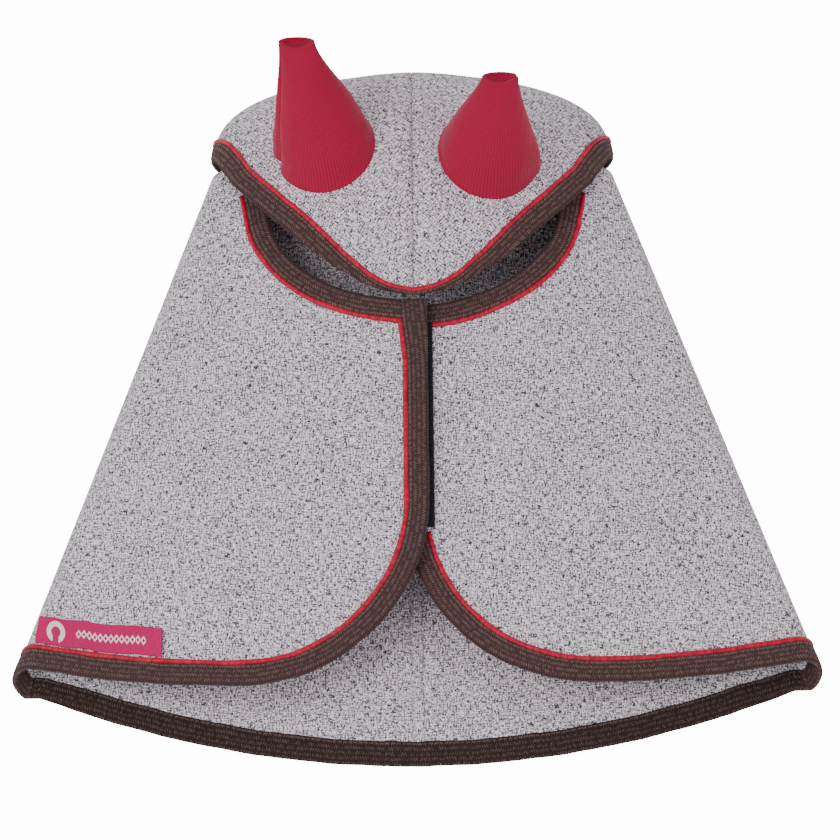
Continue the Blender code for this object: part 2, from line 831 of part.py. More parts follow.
def hood_seam():
    """The seam allowance under the middle of the crown."""
    ys = np.linspace(BROW_Y + 0.002, POLL_Y - 1.6 * HOOD_FOLD, 7)
    path = [(y, hood_z(0, y)) for y in ys]
    high = -CLOTH / 2 - SEAM_DROP
    return swept(
        "crown_seam_allowance", strip_rings(path, SEAM_WIDTH, high - SEAM_TAPE, high), GREY
    )


# ---------------------------------------------------------------- the forehead


def forehead_curve(inset):
    """The V's edge from one end of the brow line round the tip to the other."""
    half = [v_point(x, inset) for x in v_stations(0.0, BROW_Y - FLAP_CUT, inset)]
    return [(-x, y) for x, y in reversed(half[1:])] + half


def forehead(hinge):
    """The free part of the hood: two cloths, their seam, one tape and one piping."""
    rows = (TAPE_WIDTH, PIPING_INSET + PIPING_WIDTH)
    top = BROW_Y - 1.4 * FLAP_CUT
    for side in SIDES:
        name = f"{side}_forehead_panel"
        inner = [[v_point(x, d) for x in v_stations(0.0, top, d)[1:]] for d in rows]
        laid_cloth(name, forehead_half_outline(), inner, side, hood_z, GREY, hinge)
    laid_tape("forehead_binding", forehead_curve, "right", hood_z, hinge)
    laid_piping("forehead_piping", forehead_curve, "right", hood_z, hinge)
    ys = np.linspace(TIP_Y + TAPE_WIDTH + 2 * GAP, BROW_Y - 0.002, 4)
    high = -CLOTH / 2 - SEAM_DROP
    rings = strip_rings(
        [(y, hood_z(0, y)) for y in ys], SEAM_WIDTH, high - SEAM_TAPE, high
    )
    swept("forehead_seam_allowance", rings, GREY, hinge)


def brow_axis():
    """A point on the forehead's hinge, level with the top of its arch."""
    return Vector((0, BROW_Y, hood_z(0, BROW_Y) + HALF_STACK + HINGE_LIFT))


# ---------------------------------------------------------------- the front flaps


def flap_axis(side):
    """Two points on a flap's hinge, just above the cloth at the hem and at the neck."""
    height = flap_z(side)
    lift = HALF_STACK + HINGE_LIFT
    points = []
    for u, y in (HINGE_FOOT, HINGE_HEAD):
        points.append(Vector((SIDES[side] * u, y, height(SIDES[side] * u, y) + lift)))
    return points


def neck_curve(inset):
    """The neck's edge from the placket's tape outwards."""
    return neck_edge(inset, TAPE_WIDTH - LAP_HALF + GAP)


def fastener_rings(side, above):
    """Rings of a hook or loop strip on the lap, above or below the flap's tape."""
    height = flap_z(side)
    top_y = NECK_Y - FASTENER_FROM_NECK
    near = HALF_STACK + GAP
    low, high = (near, near + FASTENER) if above else (-near - FASTENER, -near)
    rings = []
    for y in np.linspace(top_y, top_y - FASTENER_LENGTH, 7):
        us = (-LAP_HALF + 0.0006, -LAP_HALF + FASTENER_WIDTH)
        ring = []
        for u, lift in ((us[0], low), (us[1], low), (us[1], high), (us[0], high)):
            x = SIDES[side] * u
            ring.append(Vector((x, y, height(x, y) + lift)))
        rings.append(ring)
    return rings


def flap_piping_curve(side):
    """The front edge's piping line: on the right flap it stops below the loop strip."""

    def curve(inset):
        points = front_edge(inset, TAPE_WIDTH + GAP)
        if side == "left":
            return points
        limit = NECK_Y - FASTENER_FROM_NECK - FASTENER_LENGTH - 0.003
        return [p for p in points if p[1] < min(limit, FRONT_HEM_Y + CORNER_RADIUS)]

    return curve


def neck_piping_curve(inset):
    """The neck's piping line, from the front edge's piping outwards."""
    return neck_edge(inset, TAPE_WIDTH - LAP_HALF + 2 * GAP + PIPING_WIDTH)


def label(hinge):
    """The woven label on the left flap, beside the hem's piping and clear of the hinge."""
    height = flap_z("left")
    start = HINGE_FOOT.x - LABEL_END
    near = PIPING_INSET + PIPING_WIDTH / 2 + GAP
    low = CLOTH / 2 + LABEL_GAP
    far = near + LABEL_WIDTH
    rings = []
    for share in np.linspace(0, 1, 6):
        ring = []
        for inset, lift in ((near, 0), (far, 0), (far, 1), (near, 1)):
            first = min(start, hinge_u(front_hem_y(start) + inset, FLAP_CUT))
            u = first + (start - LABEL_LENGTH - first) * share
            y = front_hem_y(u) + inset
            z = height(-u, y) + low + lift * LABEL_THICKNESS
            ring.append(Vector((-u, y, z)))
        rings.append(ring)
    swept("woven_label", rings, MAGENTA, hinge)


def front_flap(side, hinge):
    """One front flap: cloth, tapes, pipings and its fastener strip."""
    height = flap_z(side)
    inner = [front_edge(d)[1:-1] for d in (TAPE_WIDTH, PIPING_INSET + PIPING_WIDTH)]
    inner += [neck_curve(d)[:-1] for d in (TAPE_WIDTH, PIPING_INSET + PIPING_WIDTH)]
    laid_cloth(f"{side}_front_panel", flap_outline(), inner, side, height, GREY, hinge)
    laid_tape(f"{side}_front_binding", front_edge, side, height, hinge)
    laid_tape(f"{side}_neck_binding", neck_curve, side, height, hinge)
    laid_piping(f"{side}_front_piping", flap_piping_curve(side), side, height, hinge)
    laid_piping(f"{side}_neck_piping", neck_piping_curve, side, height, hinge)
    name = {"left": "hook_strip", "right": "loop_strip"}[side]
    swept(name, fastener_rings(side, above=side == "right"), NAVY, hinge)


# ---------------------------------------------------------------- the ears


def ear_ring(side, share, shrink, segments=16):
    """One ring of the ear: round at the base on the hood, flat and closed at the tip."""
    base = ear_base(side)
    lean = Vector((SIDES[side] * EAR_OUTWARD, EAR_BACK[side], EAR_HEIGHT))
    bow = 0.12 * math.sin(math.pi * share)
    wide = EAR_RADIUS + (EAR_TIP_HALF - EAR_RADIUS) * share**0.9 + bow * EAR_TIP_HALF
    deep = EAR_RADIUS + (EAR_TIP_DEPTH - EAR_RADIUS) * share**0.95
    ring = []
    for step in range(segments):
        turn = 2 * math.pi * step / segments
        x = base.x + lean.x * share + (wide - shrink) * math.cos(turn)
        y = base.y + lean.y * share**1.25 + (deep - shrink) * math.sin(turn)
        foot = hood_z(x, y) if share == 0 else 0.0
        z = foot if share == 0 else base.z + lean.z * share
        if 0 < share < 0.3:
            z += (hood_z(x, y) - base.z) * (1 - share / 0.3)
        ring.append(Vector((x, y, z)))
    return ring


def ear(side, hinge):
    """A hollow ear, open at its base, with its tip sewn flat."""
    shares = [0, 0.08, 0.18, 0.3, 0.45, 0.6, 0.75, 0.88, 1.0]
    outer = [ear_ring(side, s, 0.0) for s in shares]
    inner = [ear_ring(side, s, EAR_WALL) for s in shares[:-1]]
    tip = sum(outer[-1], Vector()) / len(outer[-1]) - Vector((0, 0, EAR_WALL))
    inner_tip = sum(inner[-1], Vector()) / len(inner[-1]) + Vector((0, 0, 0.003))
    builder = bmesh.new()
    for rings, point in ((outer, tip), (inner, inner_tip)):
        made = [[builder.verts.new(p) for p in ring] for ring in rings]
        for first, second in zip(made, made[1:]):
            for i in range(len(first)):
                j = (i + 1) % len(first)
                builder.faces.new([first[i], first[j], second[j], second[i]])
        peak = builder.verts.new(point)
        for i in range(len(made[-1])):
            builder.faces.new([made[-1][i], made[-1][(i + 1) % len(made[-1])], peak])
        if rings is outer:
            rim = made[0]
        else:
            for i in range(len(rim)):
                j = (i + 1) % len(rim)
                builder.faces.new([rim[i], rim[j], made[0][j], made[0][i]])
    finish(f"{side}_ear", builder, CRIMSON, hinge)


# ---------------------------------------------------------------- the whole sheet


def main():
    clear_scene()
    for side in SIDES:
        back_panel(side)
        hood_panel(side)
        shoulder_tape(side)
        hood_tape(side)
        hood_piping(side)
    back_hem_tape()
    back_hem_piping()
    back_seam()
    hood_seam()
    for side in SIDES:
        foot, head = flap_axis(side)
        hinge = hinge_empty(f"{side}_flap_hinge", foot.lerp(head, 0.5))
        front_flap(side, hinge)
        if side == "left":
            label(hinge)
        ear(side, hinge_empty(f"{side}_ear_hinge", ear_base(side)))
    forehead(hinge_empty("brow_hinge", brow_axis()))


main()
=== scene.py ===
"""A hooded fly sheet for a toy horse, laid on its back in a white studio.

The cloth is cut as flat pieces, and a surface lays each point of a piece in space: over the
front, round the side fold or under it. Lengths along Y are measured from the middle of the
back hem, and each finished piece is shifted onto the part's own origin.
"""

import logging
import math
from dataclasses import dataclass, field
from enum import Enum
from typing import Callable, Sequence

import bpy
import numpy as np
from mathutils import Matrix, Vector
from mathutils.geometry import delaunay_2d_cdt


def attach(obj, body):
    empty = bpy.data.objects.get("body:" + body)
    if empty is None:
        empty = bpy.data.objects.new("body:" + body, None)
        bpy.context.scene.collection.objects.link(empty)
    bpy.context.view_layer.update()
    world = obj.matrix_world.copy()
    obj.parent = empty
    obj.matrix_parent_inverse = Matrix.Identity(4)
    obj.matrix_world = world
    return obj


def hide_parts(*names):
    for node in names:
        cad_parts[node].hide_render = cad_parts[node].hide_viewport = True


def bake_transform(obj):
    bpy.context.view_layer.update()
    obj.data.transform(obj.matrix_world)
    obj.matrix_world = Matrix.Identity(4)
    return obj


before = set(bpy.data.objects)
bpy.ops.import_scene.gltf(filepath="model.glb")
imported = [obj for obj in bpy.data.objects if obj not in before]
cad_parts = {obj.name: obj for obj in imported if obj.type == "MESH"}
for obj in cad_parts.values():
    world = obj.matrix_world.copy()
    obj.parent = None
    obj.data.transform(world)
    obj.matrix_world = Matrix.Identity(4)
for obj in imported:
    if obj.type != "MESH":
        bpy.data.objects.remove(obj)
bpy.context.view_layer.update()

LOG = logging.getLogger("fly_sheet")
CENTRE_Y = 0.22115
TRIM_STEP = 0.0018

Array = np.ndarray
Placer = Callable[[Array, Array], Array]
Layer = Callable[[Array], Array]
Socket = bpy.types.NodeSocket
Value = Socket | float | tuple


class Side(Enum):
    """The two halves of the sheet, as seen from the hem."""

    LEFT = -1
    RIGHT = 1

    @property
    def word(self) -> str:
        """The side's name in lower case."""
        return self.name.lower()


def smooth(value: Array | float) -> Array:
    """Eases from 0 to 1 as value goes from 0 to 1.

    Args:
        value: Any numbers.

    Returns:
        The eased numbers, held at 0 and 1 outside that range.
    """
    v = np.clip(value, 0.0, 1.0)
    return v * v * (3 - 2 * v)


def wobble(s: Array, wavelength: float, phase: float) -> Array:
    """A soft irregular wave in -1 to 1: three sines whose lengths share no multiple.

    Args:
        s: Places along a path, in metres.
        wavelength: The longest wave's length, in metres.
        phase: Sets one wave apart from another.

    Returns:
        The wave at each place.
    """
    turn = 2 * math.pi * np.asarray(s) / wavelength
    wave = np.sin(turn + phase) + 0.6 * np.sin(1.73 * turn + 2.1 * phase)
    return (wave + 0.35 * np.sin(3.19 * turn + 3.7 * phase)) / 1.95


# ------------------------------------------------------------------ the laid shape


@dataclass(frozen=True)
class SheetForm:
    """Sizes of the laid sheet, and the heights and edges that follow from them."""

    hem_half: float = 0.2342
    hem_rise: float = 0.057
    back_rise: float = 0.043
    shoulder_half: float = 0.125
    shoulder_y: float = 0.373
    poll: float = 0.4415
    poll_round: float = 1.9
    poll_square: float = 3.15
    fold: float = 0.012
    hood_fold: float = 0.0146
    base: float = 0.0007
    cloth: float = 0.0010
    hem_swell: float = 0.013
    neck_swell: float = 0.024
    swell_reach: float = 0.130
    dome_height: float = 0.041
    dome_drop: float = 0.39
    dome_y: float = 0.367
    front_hem: float = 0.040
    corner_radius: float = 0.110
    lap_half: float = 0.008
    lap_ease: float = 0.060
    lap_step: float = 0.0086
    neck_half: float = 0.089
    neck_depth: float = 0.0675
    neck_centre_y: float = 0.342
    tip_y: float = 0.2759
    v_slope: float = 1.5
    v_round: float = 0.135
    corner_y: float = 0.383
    nape_y: float = 0.3764
    tape_width: float = 0.0125
    piping_half: float = 0.0015
    piping_tuck: float = 0.0004

    def cord_inset(self, width: Array | float) -> Array | float:
        """A piping's distance inside the edge, its side tucked under a tape of that width."""
        return width + self.piping_half - self.piping_tuck

    def half_width(self, y: Array) -> Array:
        """Half the laid outline's width: straight sides, then the hood's squared arch.

        Args:
            y: Places along, from the back hem's middle.

        Returns:
            The half widths.
        """
        share = (y - self.hem_rise) / (self.shoulder_y - self.hem_rise)
        cape = self.hem_half + (self.shoulder_half - self.hem_half) * share
        up = np.clip((y - self.shoulder_y) / (self.poll - self.shoulder_y), 0, 0.98)
        hood = self.shoulder_half * (1 - up**self.poll_square) ** (1 / self.poll_round)
        return np.where(y <= self.shoulder_y, cape, hood)

    def poll_y(self, x: Array) -> Array:
        """The hood's top edge, a square-shouldered arch over the poll.

        Args:
            x: Places across, from the middle.

        Returns:
            The edge's places along.
        """
        share = np.clip(np.abs(x) / self.shoulder_half, 0, 1) ** self.poll_round
        rise = (1 - share) ** (1 / self.poll_square)
        return self.shoulder_y + (self.poll - self.shoulder_y) * rise

    def swell(self, x: Array, y: Array) -> Array:
        """How far the front rises above the side fold: a parabola that grows to the neck.

        Args:
            x: Places across, from the middle.
            y: Places along, from the back hem's middle.

        Returns:
            The heights above the fold's top.
        """
        grow = (self.neck_swell - self.hem_swell) * np.maximum(0, y) / self.shoulder_y
        share = np.clip((self.half_width(y) - np.abs(x)) / self.swell_reach, 0, 1)
        return (self.hem_swell + grow) * (1 - (1 - share) ** 2)

    def flap_rise(self, side: Side, x: Array, y: Array) -> Array:
        """The front's rise with the lap: the left flap steps up, the right one down.

        Args:
            side: The front's side.
            x: Places across, from the middle.
            y: Places along, from the back hem's middle.

        Returns:
            The heights above the fold's top.
        """
        own = side.value * x
        share = smooth((self.lap_ease + 2 * self.lap_half - own) / self.lap_ease)
        edge = np.clip((self.half_width(y) - np.abs(x)) / 0.05, 0, 1)
        relief = 0.0011 * wobble(x + 0.35 * y, 0.118, 1.3 + side.value)
        relief += 0.0009 * wobble(y - 0.25 * x, 0.140, 0.4 * side.value)
        step = -side.value * share * self.lap_step / 2
        return self.swell(x, y) + step + relief * edge * (1 - share)

    def dome(self, x: Array, y: Array) -> Array:
        """How far the hood rises above its folds: a dome that falls towards its tip.

        Args:
            x: Places across, from the middle.
            y: Places along, from the back hem's middle.

        Returns:
            The heights above the hood's folds.
        """
        reach = np.maximum(0, (self.dome_y - y) / (self.dome_y - self.tip_y))
        across = np.maximum(0, 1 - (x / self.half_width(y)) ** 2)
        top = np.maximum(1e-6, self.poll_y(x) - self.dome_y)
        past = np.clip((y - self.dome_y) / top, 0, 1)
        dip = 0.0016 * np.exp(-((np.abs(x) / 0.0035) ** 1.5)) * smooth((0.415 - y) / 0.02)
        crease = 0.0012 * np.exp(-(((y - 0.411 + 0.12 * np.abs(x)) / 0.005) ** 2))
        off = y - 0.349 - 0.30 * (np.abs(x) - 0.080)
        dart = 0.0013 * np.exp(-((off / 0.0018) ** 2)) * smooth((np.abs(x) - 0.078) / 0.008)
        waves = 0.0008 * wobble(x * 0.8 + y, 0.07, 0.9)
        rise = self.dome_height * (1 - self.dome_drop * reach**2) * across * (1 - past**2)
        return rise - dip - dart * across - crease * smooth((0.09 - np.abs(x)) / 0.04) + waves * across

    def hood_z(self, x: Array, y: Array) -> Array:
        """Middle of the hood's upper cloth, inside its folds."""
        return self.base + 2 * self.hood_fold + self.dome(x, y)

    def front_hem_y(self, u: Array) -> Array:
        """The front hem's finished edge at a distance from the middle.

        Args:
            u: Places across, from the middle.

        Returns:
            The edge's places along.
        """
        start = self.corner_radius - self.lap_half
        share = np.maximum(0, (u - start) / (self.hem_half - start))
        return self.front_hem + (self.hem_rise - self.front_hem) * share**2

    def back_hem_y(self, x: Array) -> Array:
        """The back hem's finished edge, a parabola out to where the side fold starts."""
        return self.back_rise * np.clip(np.abs(x) / (self.hem_half - self.fold), 0, 1) ** 2

    def hem_lift(self, inset: Array) -> Array:
        """How far the under layer rises near the hem, over its own tape."""
        return 0.0017 * smooth((0.048 - inset) / 0.030)

    def under_z(self, x: Array, y: Array) -> Array:
        """Middle of the back's cloth on the floor, with soft folds that run up from the hem.

        Args:
            x: Places across, from the middle.
            y: Places along, from the back hem's middle.

        Returns:
            The heights above the floor.
        """
        hem = self.back_hem_y(x)
        z = self.base + self.hem_lift(y - hem)
        fade = smooth((0.185 - y) / 0.15) * smooth((0.19 - np.abs(x)) / 0.10)
        fade = fade * smooth((y - hem) / 0.02)
        ridge = np.exp(-(((np.abs(x + 0.004) - 0.011 - 0.05 * y) / 0.0045) ** 2))
        ridge = ridge + 0.8 * np.exp(-(((x - 0.062 - 0.22 * y) / 0.0075) ** 2))
        ridge = ridge + 0.7 * np.exp(-(((x + 0.071 + 0.12 * y) / 0.0085) ** 2))
        soft = 0.5 + 0.5 * wobble(x + 0.08 * y, 0.052, 2.2)
        return z + fade * (0.0023 * ridge + 0.0012 * soft)

    def v_edge(self, x: Array) -> Array:
        """The forehead's finished edge, a hyperbola with a round tip."""
        return self.tip_y + np.hypot(self.v_slope * x, self.v_round) - self.v_round

    def neck_y(self, u: Array) -> Array:
        """The neck opening's finished edge, the lower half of an ellipse."""
        across = np.clip(u / self.neck_half, -1, 1)
        return self.neck_centre_y - self.neck_depth * np.sqrt(1 - across**2)


FORM = SheetForm()


@dataclass(frozen=True)
class CapeSurface:
    """Lays a front piece: flat points (u, y), where u runs out from the middle, round the fold."""

    side: Side
    form: SheetForm = FORM

    def place(self, q: Array) -> Array:
        """Lays points: on top as they are, past the fold's start round a half circle.

        Args:
            q: Flat points, as N rows of u and y.

        Returns:
            N rows of x, y and z, with x on the piece's own side as positive.
        """
        f = self.form
        u, y = q[:, 0], q[:, 1]
        start = f.half_width(y) - f.fold
        turn = np.clip((u - start) / f.fold, 0, math.pi)
        x = np.where(u <= start, u, start + f.fold * np.sin(turn))
        x = np.where(u > start + math.pi * f.fold, 2 * start + math.pi * f.fold - u, x)
        rise = f.flap_rise(self.side, self.side.value * x, y)
        rise = rise * np.where(turn < math.pi / 2, 1.0, 0.0)
        rise = rise + f.hem_lift(y - f.back_rise) * smooth(turn / math.pi)
        z = f.base + f.fold * (1 + np.cos(turn)) + rise
        return np.stack([x, y, z], axis=1)


class HoodSurface:
    """Lays half of the hood: flat points inside its rim stay put, those past it go round the fold.

    The rim is the laid outline's edge. A line one fold's radius inside it is where the fold
    starts, and a point is placed by its nearest spot on that line.
    """

    def __init__(self, form: SheetForm = FORM, samples: int = 900) -> None:
        """Works out the rim, its ways and the fold's starting line.

        Args:
            form: The sheet's sizes.
            samples: How many spots the rim has.
        """
        self.form = form
        low = np.linspace(form.shoulder_y - 0.046, form.shoulder_y, 60)
        side = np.stack([np.full(60, form.shoulder_half), low], axis=1)
        arc = np.linspace(0, math.pi / 2, 1500)
        x = form.shoulder_half * (1 - np.sin(arc) ** form.poll_square) ** (1 / form.poll_round)
        x = np.sort(np.concatenate([x, np.linspace(0, 0.12, 1500)]))[::-1]
        top = np.stack([x, form.poll_y(x)], axis=1)
        beyond = np.array([[-0.004, form.poll], [-0.008, form.poll]])
        path = np.concatenate([side, top[2:], beyond])
        run = np.concatenate([[0], np.cumsum(np.linalg.norm(np.diff(path, axis=0), axis=1))])
        even = np.linspace(0, run[-1], samples)
        rim = np.stack([np.interp(even, run, path[:, i]) for i in (0, 1)], axis=1)
        way = np.gradient(rim, axis=0)
        kernel = np.ones(9) / 9
        for i in (0, 1):
            way[4:-4, i] = np.convolve(way[:, i], kernel, "valid")
        way /= np.linalg.norm(way, axis=1, keepdims=True)
        self.rim = rim
        self.way = way
        self.inward = np.stack([-way[:, 1], way[:, 0]], axis=1)
        self.start = rim + self.inward * form.hood_fold

    def place(self, q: Array) -> Array:
        """Lays points by their nearest spot on the line where the fold starts.

        Args:
            q: Flat points, as N rows of x and y.

        Returns:
            N rows of x, y and z, with x on the piece's own side as positive.
        """
        f = self.form
        near = ((q[:, None, :] - self.start[None, :, :]) ** 2).sum(axis=2).argmin(axis=1)
        off = q - self.start[near]
        inward, way = self.inward[near], self.way[near]
        past = -(off * inward).sum(axis=1)
        slide = (off * way).sum(axis=1)
        turn = np.clip(past / f.hood_fold, 0, math.pi)
        inside = f.hood_fold * (1 - np.sin(turn))
        inside = inside + np.maximum(0, past - math.pi * f.hood_fold)
        plan = self.rim[near] + inward * inside[:, None] + way * slide[:, None]
        plan = np.where((past <= 0)[:, None], q, plan)
        rise = f.dome(plan[:, 0], plan[:, 1]) * np.where(turn < math.pi / 2, 1.0, 0.0)
        z = f.base + f.hood_fold * (1 + np.cos(turn)) + rise
        return np.concatenate([plan, z[:, None]], axis=1)

    def nape_line(self, nape_y: float, widest: float) -> Array:
        """Flat points whose laid places are on the nape seam, from its outer end inwards.

        Args:
            nape_y: Where the seam lies.
            widest: The seam's outer end.

        Returns:
            The flat points.
        """
        fold = math.pi * self.form.hood_fold
        steep = self.inward[:, 1] < -0.5
        start, inward = self.start[steep], self.inward[steep]
        reach = (nape_y - start[:, 1]) / inward[:, 1]
        x = start[:, 0] + inward[:, 0] * reach
        keep = (x > 0.0003) & (x < widest)
        return (start - inward * (fold + reach)[:, None])[keep]


# ------------------------------------------------------------------ meshes


def add_object(name: str, points: Array, faces: Sequence, uv: Array, shade: str) -> bpy.types.Object:
    """Makes a smooth-shaded object from points, faces and one UV pair for each point.

    Args:
        name: The piece's name.
        points: N rows of x, y and z, in the part's own frame.
        faces: Rows of point numbers.
        uv: N rows of U and V, in metres.
        shade: "smooth" or "flat".

    Returns:
        The new object, linked to the scene.
    """
    mesh = bpy.data.meshes.new(name)
    mesh.from_pydata(np.asarray(points).tolist(), [], [list(map(int, f)) for f in faces])
    corners = np.empty(len(mesh.loops), np.int32)
    mesh.loops.foreach_get("vertex_index", corners)
    layer = mesh.uv_layers.new(name="UVMap")
    layer.uv.foreach_set("vector", np.asarray(uv, np.float32)[corners].reshape(-1))
    mesh.polygons.foreach_set("use_smooth", np.full(len(mesh.polygons), shade == "smooth"))
    mesh.update()
    obj = bpy.data.objects.new(name, mesh)
    bpy.context.scene.collection.objects.link(obj)
    LOG.info("%s: %d points, %d faces", name, len(points), len(mesh.polygons))
    return obj


def onto_part(points: Array, mirror: int) -> Array:
    """Puts own-side points on the side mirror names, and shifts them onto the part's origin.

    Args:
        points: N rows of x, y and z.
        mirror: 1 to keep the side, -1 to swap it.

    Returns:
        The moved points.
    """
    return points * np.array([mirror, 1, 1]) - np.array([0, CENTRE_Y, 0])


def triangle_normals(points: Array, triangles: Array) -> Array:
    """Unit normals at points, each the sum of its triangles' area-weighted normals.

    Args:
        points: N rows of x, y and z.
        triangles: M rows of three point numbers.

    Returns:
        N rows of unit normals.
    """
    a, b, c = (points[triangles[:, i]] for i in range(3))
    flat = np.cross(b - a, c - a)
    total = np.zeros_like(points)
    for i in range(3):
        np.add.at(total, triangles[:, i], flat)
    return total / np.maximum(1e-12, np.linalg.norm(total, axis=1, keepdims=True))


def inside(points: Array, outline: Array) -> Array:
    """Which points lie in a closed outline, by counting the edges that each one's ray crosses.

    Args:
        points: N rows of x and y.
        outline: The outline's corners.

    Returns:
        N booleans.
    """
    x, y = points[:, 0:1], points[:, 1:2]
    ax, ay = outline[:, 0], outline[:, 1]
    bx, by = np.roll(ax, -1), np.roll(ay, -1)
    spans = (ay > y) != (by > y)
    rise = np.where(by == ay, 1e-12, by - ay)
    crosses = spans & (x < (bx - ax) * (y - ay) / rise + ax)
    return crosses.sum(axis=1) % 2 == 1


def fill_outline(outline: Array, spacing: float) -> tuple[Array, Array]:
    """Triangulates an outline with rows of points inside it, each row shifted by half a step.

    Args:
        outline: The outline's corners, evenly spaced.
        spacing: The distance between points.

    Returns:
        The points, and rows of three point numbers.
    """
    low, high = outline.min(axis=0), outline.max(axis=0)
    rows = np.arange(low[1] + spacing / 2, high[1], spacing * 0.866)
    columns = np.arange(low[0] - spacing, high[0] + spacing, spacing)
    x, y = np.meshgrid(columns, rows)
    x = x + (np.arange(len(rows)) % 2)[:, None] * spacing / 2
    more = np.stack([x.ravel(), y.ravel()], axis=1)
    more = more[inside(more, outline)]
    near = np.full(len(more), np.inf)
    for part in np.array_split(outline, 1 + len(outline) // 64):
        gap = ((more[:, None, :] - part[None, :, :]) ** 2).sum(axis=2).min(axis=1)
        near = np.minimum(near, gap)
    more = more[near > (0.55 * spacing) ** 2]
    points = [Vector(p) for p in np.concatenate([outline, more]).tolist()]
    count = len(outline)
    edges = [(i, (i + 1) % count) for i in range(count)]
    spots, _, faces, *_ = delaunay_2d_cdt(points, edges, [], 1, 1e-7)
    return np.array([tuple(p) for p in spots]), np.array(faces)


def evenly(path: Array, spacing: float) -> Array:
    """Points at even steps along a path.

    Args:
        path: N rows of coordinates.
        spacing: The step, which is changed a little to fit.

    Returns:
        The new rows, from the path's first point to its last.
    """
    run = np.concatenate([[0], np.cumsum(np.linalg.norm(np.diff(path, axis=0), axis=1))])
    steps = max(2, int(round(run[-1] / spacing)))
    at = np.linspace(0, run[-1], steps + 1)
    return np.stack([np.interp(at, run, path[:, i]) for i in range(path.shape[1])], axis=1)


def cloth_shell(
    name: str, points: Array, triangles: Array, uv: Array, thickness: float, mirror: int
) -> bpy.types.Object:
    """A closed cloth: the laid points moved half a thickness each way along their normals.

    Args:
        name: The piece's name.
        points: The cloth's middle, with x on its own side as positive.
        triangles: Rows of three point numbers.
        uv: Flat places for the weave, in metres.
        thickness: The cloth's thickness.
        mirror: 1 for the right side, -1 for the left.

    Returns:
        The cloth.
    """
    normals = triangle_normals(points, triangles)
    count = len(points)
    both = np.concatenate([points + normals * thickness / 2, points - normals * thickness / 2])
    ends = np.concatenate([triangles[:, [0, 1]], triangles[:, [1, 2]], triangles[:, [2, 0]]])
    key = np.sort(ends, axis=1)
    _, first, seen = np.unique(key, axis=0, return_index=True, return_counts=True)
    rim = ends[first[seen == 1]]
    walls = np.stack([rim[:, 1], rim[:, 0], rim[:, 0] + count, rim[:, 1] + count], axis=1)
    under = triangles[:, ::-1] + count
    faces = triangles.tolist() + under.tolist() + walls.tolist()
    if mirror < 0:
        faces = [face[::-1] for face in faces]
    flat = np.concatenate([uv, uv]) * np.array([mirror, 1])
    return add_object(name, onto_part(both, mirror), faces, flat, "smooth")


def ring_solid(name: str, rings: Array, uv: Array, mirror: int = 1) -> bpy.types.Object:
    """A closed solid through a row of closed rings, with flat ends.

    Args:
        name: The piece's name.
        rings: Rings by points by x, y and z, with x on the piece's own side as positive.
        uv: Rings by points by U and V.
        mirror: 1 for the right side, -1 for the left.

    Returns:
        The solid.
    """
    count, size = rings.shape[:2]
    index = np.arange(count * size).reshape(count, size)
    turned = np.roll(index, -1, axis=1)
    quads = np.stack([index[:-1], turned[:-1], turned[1:], index[1:]], axis=-1).reshape(-1, 4)
    faces = quads.tolist() + [index[0][::-1].tolist(), index[-1].tolist()]
    if mirror < 0:
        faces = [face[::-1] for face in faces]
    points = onto_part(rings.reshape(-1, 3), mirror)
    obj = add_object(name, points, faces, uv.reshape(-1, 2), "smooth")
    face_outwards(obj)
    return obj


def face_outwards(obj: bpy.types.Object) -> None:
    """Turns a closed mesh's faces round if its signed volume is negative.

    Args:
        obj: The object to check.
    """
    mesh = obj.data
    mesh.calc_loop_triangles()
    corners = np.empty(len(mesh.loop_triangles) * 3, np.int32)
    mesh.loop_triangles.foreach_get("vertices", corners)
    points = np.empty(len(mesh.vertices) * 3, np.float32)
    mesh.vertices.foreach_get("co", points)
    a, b, c = points.reshape(-1, 3)[corners.reshape(-1, 3)].transpose(1, 0, 2)
    if float((np.cross(a, b) * c).sum()) < 0:
        mesh.flip_normals()


